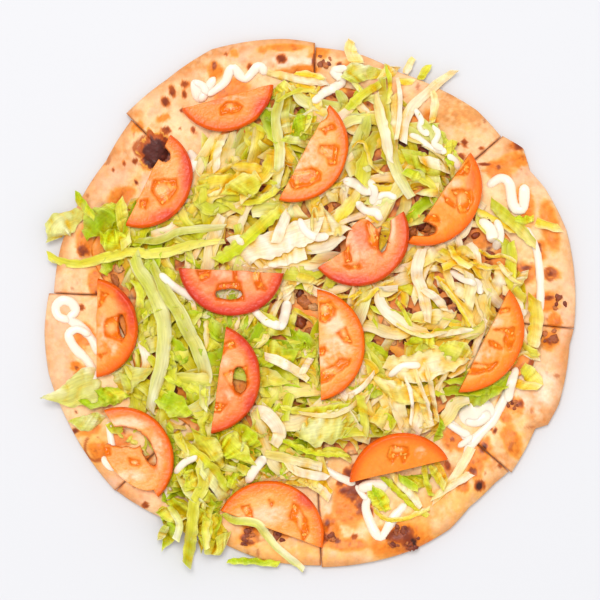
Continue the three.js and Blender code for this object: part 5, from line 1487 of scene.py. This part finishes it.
# Single shreds and leaf pieces that the photo shows on top: kind, width and route in photo pixels
shownShreds = [
    ("lime", 10, [(47, 255), (62, 262), (80, 264), (100, 259), (115, 256), (130, 252), (150, 254), (170, 252),
                  (190, 246), (205, 243), (225, 241)]),
    ("mist", 8, [(137, 240), (155, 241), (167, 238), (178, 232), (200, 229), (225, 227)]),
    ("lime", 12, [(120, 200), (123, 223), (127, 247)]), ("green", 9, [(75, 195), (84, 206), (95, 218)]),
    ("mist", 15, [(135, 255), (139, 269), (149, 283), (157, 298), (164, 320), (165, 343), (163, 361),
                  (155, 390), (150, 410)]),
    ("mist", 14, [(152, 264), (160, 280), (170, 298), (181, 315), (189, 332), (198, 349), (204, 367),
                  (205, 393), (203, 408)]),
    ("lime", 8, [(132, 280), (140, 290), (140, 315), (142, 326)]),
    ("lime", 12, [(175, 434), (189, 449), (205, 461), (217, 474), (228, 490)]),
    ("mist", 11, [(198, 462), (208, 475), (220, 492), (226, 507)]),
    ("lime", 12, [(201, 467), (203, 485), (195, 502), (193, 519), (191, 536), (186, 565)]),
    ("lime", 9, [(159, 510), (172, 517), (184, 519)]), ("mist", 8, [(167, 525), (159, 540)]),
    ("rib", 11, [(289, 213), (283, 225), (275, 243)]), ("pale", 12, [(283, 279), (288, 290), (290, 298)]),
    ("yellow", 9, [(297, 276), (308, 279), (322, 283)]),
    ("rib", 10, [(265, 356), (279, 361), (296, 370), (308, 380)]),
    ("rib", 8, [(311, 358), (306, 366), (302, 374)]),
    ("green", 9, [(297, 332), (311, 343), (316, 361)]),
    ("rib", 12, [(422, 249), (417, 264), (417, 277), (422, 289), (426, 308), (427, 322)]),
    ("rib", 8, [(423, 289), (435, 298), (446, 311)]),
    ("yellow", 9, [(440, 250), (452, 256), (462, 250), (474, 256)]),
    ("yellow", 8, [(442, 268), (455, 262), (468, 266)]), ("yellow", 7, [(450, 246), (456, 258), (470, 268)]),
    ("lime", 12, [(491, 203), (507, 217), (520, 229), (536, 245)]),
    ("green", 8, [(515, 219), (525, 220), (534, 218)]),
    ("yellow", 10, [(536, 222), (549, 226), (561, 228)]),
    ("yellow", 7, [(436, 276), (451, 294), (469, 315), (473, 327)]),
    ("pale", 6, [(422, 333), (437, 335), (472, 329)]), ("green", 10, [(408, 345), (422, 338), (434, 344)]),
    ("yellow", 14, [(534, 297), (537, 320), (532, 347)]), ("lime", 14, [(523, 366), (532, 376), (541, 387)]),
    ("pale", 8, [(515, 289), (525, 271)]),
    ("rib", 10, [(455, 70), (440, 81), (426, 94), (412, 107), (404, 123), (403, 143)]),
    ("pale", 8, [(433, 90), (435, 104), (432, 123)]),
    ("pale", 10, [(395, 94), (395, 120), (393, 143), (393, 164)]),
    ("mist", 12, [(382, 78), (384, 104), (387, 132), (391, 155), (399, 178), (411, 198)]),
    ("pale", 8, [(414, 57), (409, 65), (406, 73)]), ("lime", 8, [(429, 64), (420, 79)]),
    ("yellow", 8, [(397, 80), (414, 82)]), ("green", 10, [(404, 171), (412, 175), (420, 178)]),
    ("pale", 10, [(419, 160), (434, 164), (449, 170)]), ("pale", 12, [(352, 40), (351, 52), (358, 63)]),
    ("pale", 8, [(267, 72), (285, 76), (305, 80), (328, 83)]),
    ("yellow", 6, [(295, 73), (310, 74), (325, 79)]),
    ("lime", 10, [(380, 84), (363, 95), (347, 110)]),
    ("pale", 10, [(376, 94), (381, 120), (386, 143), (390, 162)]),
    ("mist", 9, [(286, 98), (285, 118), (287, 134)]),
    ("mist", 11, [(281, 92), (276, 120), (280, 148), (279, 170), (276, 192)]),
    ("mist", 8, [(283, 139), (295, 141), (309, 141)]), ("pale", 8, [(225, 134), (218, 150), (216, 172)]),
    ("rib", 14, [(250, 413), (265, 413), (279, 430), (274, 445)]),
    ("lime", 7, [(281, 407), (302, 411), (325, 409), (348, 405)]),
    ("pale", 5, [(300, 413), (331, 415), (351, 406), (368, 392)]),
    ("green", 6, [(283, 440), (313, 452), (348, 455)]), ("pale", 10, [(265, 454), (290, 459), (322, 467)]),
    ("lime", 10, [(360, 395), (364, 420), (363, 436)]), ("green", 7, [(227, 562), (250, 562), (279, 565)]),
    ("green", 10, [(371, 491), (376, 501), (382, 511)]),
    ("green", 7, [(383, 477), (400, 493), (412, 505), (428, 517)]),
    ("rib", 10, [(472, 448), (462, 466), (448, 486), (433, 502)]),
    ("pale", 8, [(432, 498), (446, 489), (459, 481), (471, 474)]),
    ("pale", 9, [(390, 473), (402, 485), (413, 496), (421, 508)]),
    ("yellow", 5, [(374, 510), (386, 519), (404, 519), (430, 508)]),
    ("yellow", 8, [(434, 460), (441, 472), (446, 488)]),
    ("lime", 6, [(424, 465), (427, 483), (431, 496)]), ("green", 9, [(372, 489), (381, 495), (388, 511)]),
    ("green", 9, [(398, 477), (408, 483), (418, 489)]), ("green", 8, [(443, 421), (440, 431), (437, 441)]),
    ("yellow", 9, [(509, 382), (524, 385), (540, 387)]), ("pale", 9, [(421, 398), (426, 412), (431, 426)]),
    ("lime", 8, [(430, 465), (437, 476), (445, 487)]),
    ("pale", 10, [(246, 472), (268, 476), (292, 474)]), ("yellow", 9, [(262, 484), (284, 480), (308, 484)]),
    ("rib", 9, [(286, 466), (304, 473), (328, 478)]), ("lime", 9, [(238, 466), (252, 474), (266, 486)]),
    ("pale", 9, [(300, 478), (316, 486), (330, 498)]), ("mist", 9, [(180, 476), (190, 492), (204, 506)]),
    ("mist", 8, [(170, 506), (180, 522), (176, 540)]), ("lime", 8, [(212, 504), (206, 524), (208, 548)]),
    ("yellow", 5, [(352, 300), (362, 291), (373, 283), (389, 272), (398, 262)]),
    ("yellow", 5, [(356, 306), (368, 297), (380, 286), (394, 280)]),
    ("pale", 4, [(396, 324), (408, 331), (424, 336), (446, 332)]),
    ("rib", 5, [(340, 399), (355, 392), (366, 383), (374, 372)]),
    ("pale", 5, [(424, 362), (429, 380), (433, 400), (437, 421)]),
    ("pale", 4, [(413, 364), (419, 384), (427, 404), (431, 420)]),
    ("rib", 4, [(404, 376), (410, 392), (412, 410), (410, 424)]),
    ("yellow", 4, [(470, 326), (462, 312), (452, 296), (440, 282)]),
    ("lime", 5, [(396, 300), (404, 312), (410, 326)]),
    ("yellow", 4, [(478, 250), (490, 256), (504, 256), (516, 262)]),
    ("yellow", 4, [(470, 262), (484, 268), (500, 268), (512, 274)]),
    ("pale", 4, [(498, 262), (508, 276), (520, 284)]),
    ("yellow", 4, [(352, 148), (358, 142), (364, 144), (368, 154), (372, 166), (384, 174)]),
    ("rib", 5, [(397, 78), (400, 96), (399, 118), (396, 140)]),
    ("lime", 5, [(386, 66), (390, 84), (388, 104)]),
    ("lime", 5, [(276, 104), (290, 94), (306, 90), (316, 94)]),
    ("green", 13, [(217, 261), (228, 254), (242, 244), (256, 231), (267, 221), (281, 210)]),
]
shownLeaves = [
    ("mist", 25, [(53, 240), (62, 225), (87, 215)]), ("green", 28, [(84, 236), (99, 220), (119, 205)]),
    ("green", 22, [(100, 238), (115, 243), (132, 238)]),
    ("mist", 36, [(56, 402), (70, 398), (85, 391), (105, 386), (125, 381), (150, 374)]),
    ("green", 24, [(84, 405), (97, 400), (110, 395), (124, 392)]),
    ("mist", 18, [(75, 418), (90, 421), (103, 420)]), ("lime", 14, [(177, 441), (182, 446), (187, 452)]),
    ("lime", 24, [(175, 492), (183, 486), (193, 481)]),
    ("pale", 28, [(303, 226), (320, 222), (340, 222)]),
    ("green", 26, [(215, 330), (240, 345), (265, 352), (296, 356)]),
    ("lime", 24, [(230, 362), (255, 372), (285, 384)]), ("lime", 20, [(238, 325), (262, 322), (290, 332)]),
    ("pale", 30, [(385, 362), (405, 366), (430, 362), (465, 352)]),
    ("pale", 26, [(378, 385), (400, 392), (425, 390)]),
    ("mist", 20, [(346, 80), (360, 74), (378, 68)]),
    ("lime", 20, [(404, 158), (418, 162), (434, 168), (446, 172)]),
    ("pale", 16, [(380, 74), (388, 70), (396, 66)]),
    ("green", 22, [(292, 132), (303, 126), (316, 120)]), ("lime", 24, [(228, 195), (242, 186), (260, 178)]),
    ("lime", 16, [(276, 102), (282, 93), (288, 83)]), ("mist", 30, [(296, 436), (322, 430), (355, 424)]),
    ("mist", 26, [(212, 452), (232, 446), (258, 440)]), ("pale", 20, [(262, 472), (290, 476), (318, 484)]),
    ("yellow", 16, [(300, 470), (318, 480), (332, 494)]), ("pale", 14, [(236, 482), (256, 486), (280, 488)]),
    ("lime", 22, [(212, 540), (218, 528), (226, 518)]), ("green", 20, [(464, 398), (482, 394), (502, 390)]),
    ("pale", 32, [(374, 415), (396, 420), (422, 424)]), ("lime", 14, [(442, 151), (449, 149), (456, 146)]),
    ("green", 18, [(400, 492), (412, 482), (424, 474)]), ("lime", 20, [(440, 345), (455, 350), (470, 356)]),
    ("green", 22, [(176, 452), (190, 466), (200, 482)]), ("green", 24, [(214, 432), (230, 446), (246, 462)]),
    ("lime", 20, [(196, 430), (210, 446), (224, 466)]), ("green", 18, [(232, 428), (246, 434), (258, 446)]),
    ("lime", 20, [(170, 500), (184, 518), (192, 536)]), ("green", 18, [(205, 500), (212, 520), (215, 540)]),
    ("green", 16, [(160, 508), (172, 520), (180, 534)]), ("lime", 18, [(188, 470), (197, 490), (206, 508)]),
    ("lime", 16, [(198, 512), (204, 528), (200, 548)]), ("green", 14, [(178, 516), (170, 532), (162, 546)]),
    ("green", 16, [(222, 478), (236, 483), (250, 488)]),
    ("pale", 12, [(238, 490), (256, 483), (276, 481)]), ("lime", 16, [(186, 486), (200, 496), (214, 502)]),
    ("lime", 20, [(200, 540), (215, 548), (228, 540)]),
    ("lime", 20, [(108, 430), (122, 430), (136, 440), (146, 456)]),
    ("yellow", 12, [(379, 250), (384, 236), (388, 222)]), ("lime", 24, [(160, 425), (175, 440), (190, 452)]),
    ("green", 22, [(150, 395), (170, 402), (190, 415)]), ("rib", 17, [(246, 262), (274, 260), (306, 254)]),
    ("rib", 30, [(238, 252), (262, 246), (288, 240), (320, 230)]),
]
# and the one shred that lies over a tomato slice
overTomatoShred = ("mist", 9, [(224, 513), (233, 520), (256, 523), (267, 536), (281, 551), (304, 570)])


def showHeap():  # the leaf pieces first, then the long shreds, each over what lies there already
    random = np.random.default_rng(8)
    for kind, width, route in shownLeaves:
        form = ribLeafForm if kind == "rib" else leafForm
        layBand("leaf", kind, fromPhoto(route), width * photo["pixelSize"], random, form)
    for kind, width, route in [*shownShreds, overTomatoShred]:
        over = route is overTomatoShred[2]
        layBand("longShred", kind, fromPhoto(route), width * photo["pixelSize"], random, longForm, over)


fillHeap()
print("shreds laid")
showHeap()
lettuceNames = {
    "rib": "thickRibs", "pale": "paleShreds", "mist": "paleGreenShreds", "yellow": "yellowShreds",
    "lime": "limeShreds", "green": "greenShreds", "leaf": "leafPieces", "longShred": "longShreds",
}
heapTop = ground
for _ in range(5):  # the heap's top without its small steps
    shifted = [np.roll(heapTop, step, side) for step in (-1, 1) for side in (0, 1)]
    heapTop = (heapTop + sum(shifted)) / 5
# Light that reaches leaves deep in the heap has come through other leaves, so they look warmer: their red,
# green and blue are multiplied by these
deepTones = {"green": (0.9, 0.84, 0.07), "lime": (0.97, 0.82, 0.07), "mist": (1.0, 0.8, 0.12)}
deepTone = (1.12, 0.76, 0.1)
for lettuceKind, parts in lettuce.items():
    bandRows, ringPoints = parts["points"][0].shape[:2]
    bandQuads = tubeFaces(bandRows, ringPoints)
    allPoints, allColours, allFibres = [
        np.concatenate([part.reshape(-1, 3) for part in parts[key]])
        for key in ("points", "colours", "fibres")
    ]
    cellI, cellJ = mapCells(allPoints[:, 0], allPoints[:, 1])
    buried = ramp(heapTop[cellI, cellJ] - allPoints[:, 2], -0.6, 2.6)[:, None]
    buried = buried * (nearTomato[cellI, cellJ] > 0)[:, None]
    allColours = allColours * mix(1, np.array(deepTones.get(lettuceKind, deepTone)), buried)
    makePiece(lettuceNames[lettuceKind], allPoints,
              repeated(bandQuads, len(parts["points"]), bandRows * ringPoints), freshLeaf,
              {"leafColour": allColours, "fibre": allFibres}, ["lettuce"], merge=0, sharp=75)
print("lettuce made")
strands("lettuceSauce", mayonnaise["onLettuce"], 700)
print("sauce made")


# Floor, light and camera

view = {
    "distance": 2.2, "frameWidth": 0.36, "sensor": 36, "focusHeight": 0.012, "sky": 0.88, "glossySky": 0.25,
    "keyPower": 68, "keySize": 1.3, "keyPlace": (-0.3, 0.8, 3.4), "floor": "#d4d4d7",
    "floorHalf": 3, "floorHeight": -0.0004,
}
floorMesh = bpy.data.meshes.new("floor")
wide, low = view["floorHalf"], view["floorHeight"]
floorMesh.from_pydata([(-wide, -wide, low), (wide, -wide, low), (wide, wide, low), (-wide, wide, low)], [],
                      [(0, 1, 2, 3)])
floor = bpy.data.objects.new("floor", floorMesh)
bpy.context.scene.collection.objects.link(floor)
floorMaterial, floorTree = newMaterial("paleMattBoard")  # a plain matt surface that only catches shadows
shaded(floorTree, {"Base Color": (*linear(view["floor"]), 1), "Roughness": 0.9})
floorMesh.materials.append(floorMaterial)

world = bpy.data.worlds.new("studio")
world.use_nodes = True
world.node_tree.nodes.clear()
# surfaces mirror a dimmer room than the one that lights them, so wet colours stay deep
rays = addNode(world.node_tree, "ShaderNodeLightPath", {})
brightness = ranged(world.node_tree, rays.outputs["Is Glossy Ray"], 0.0, 1.0, view["sky"], view["glossySky"])
room = addNode(world.node_tree, "ShaderNodeBackground", {"Color": (1, 1, 1, 1)}, {"Strength": brightness})
addNode(world.node_tree, "ShaderNodeOutputWorld", {}, {"Surface": room.outputs[0]})
bpy.context.scene.world = world
keyLight = bpy.data.lights.new("softKey", "AREA")
keyLight.shape = "DISK"
keyLight.size = view["keySize"]
keyLight.energy = view["keyPower"]
key = bpy.data.objects.new("softKey", keyLight)
key.location = view["keyPlace"]
bpy.context.scene.collection.objects.link(key)
key.rotation_euler = (-key.location).to_track_quat("-Z", "Y").to_euler()

lens = bpy.data.cameras.new("camera")
lens.sensor_width = view["sensor"]
lens.lens = view["sensor"] * view["distance"] / view["frameWidth"]
camera = bpy.data.objects.new("camera", lens)
frameMiddle = (photo["width"] / 2, photo["width"] / 2)
cameraX, cameraY = fromPhoto([frameMiddle])[0] / 1000
camera.location = (cameraX, cameraY, view["focusHeight"] + view["distance"])
bpy.context.scene.collection.objects.link(camera)
bpy.context.scene.camera = camera
bpy.context.scene.view_settings.view_transform = "Standard"
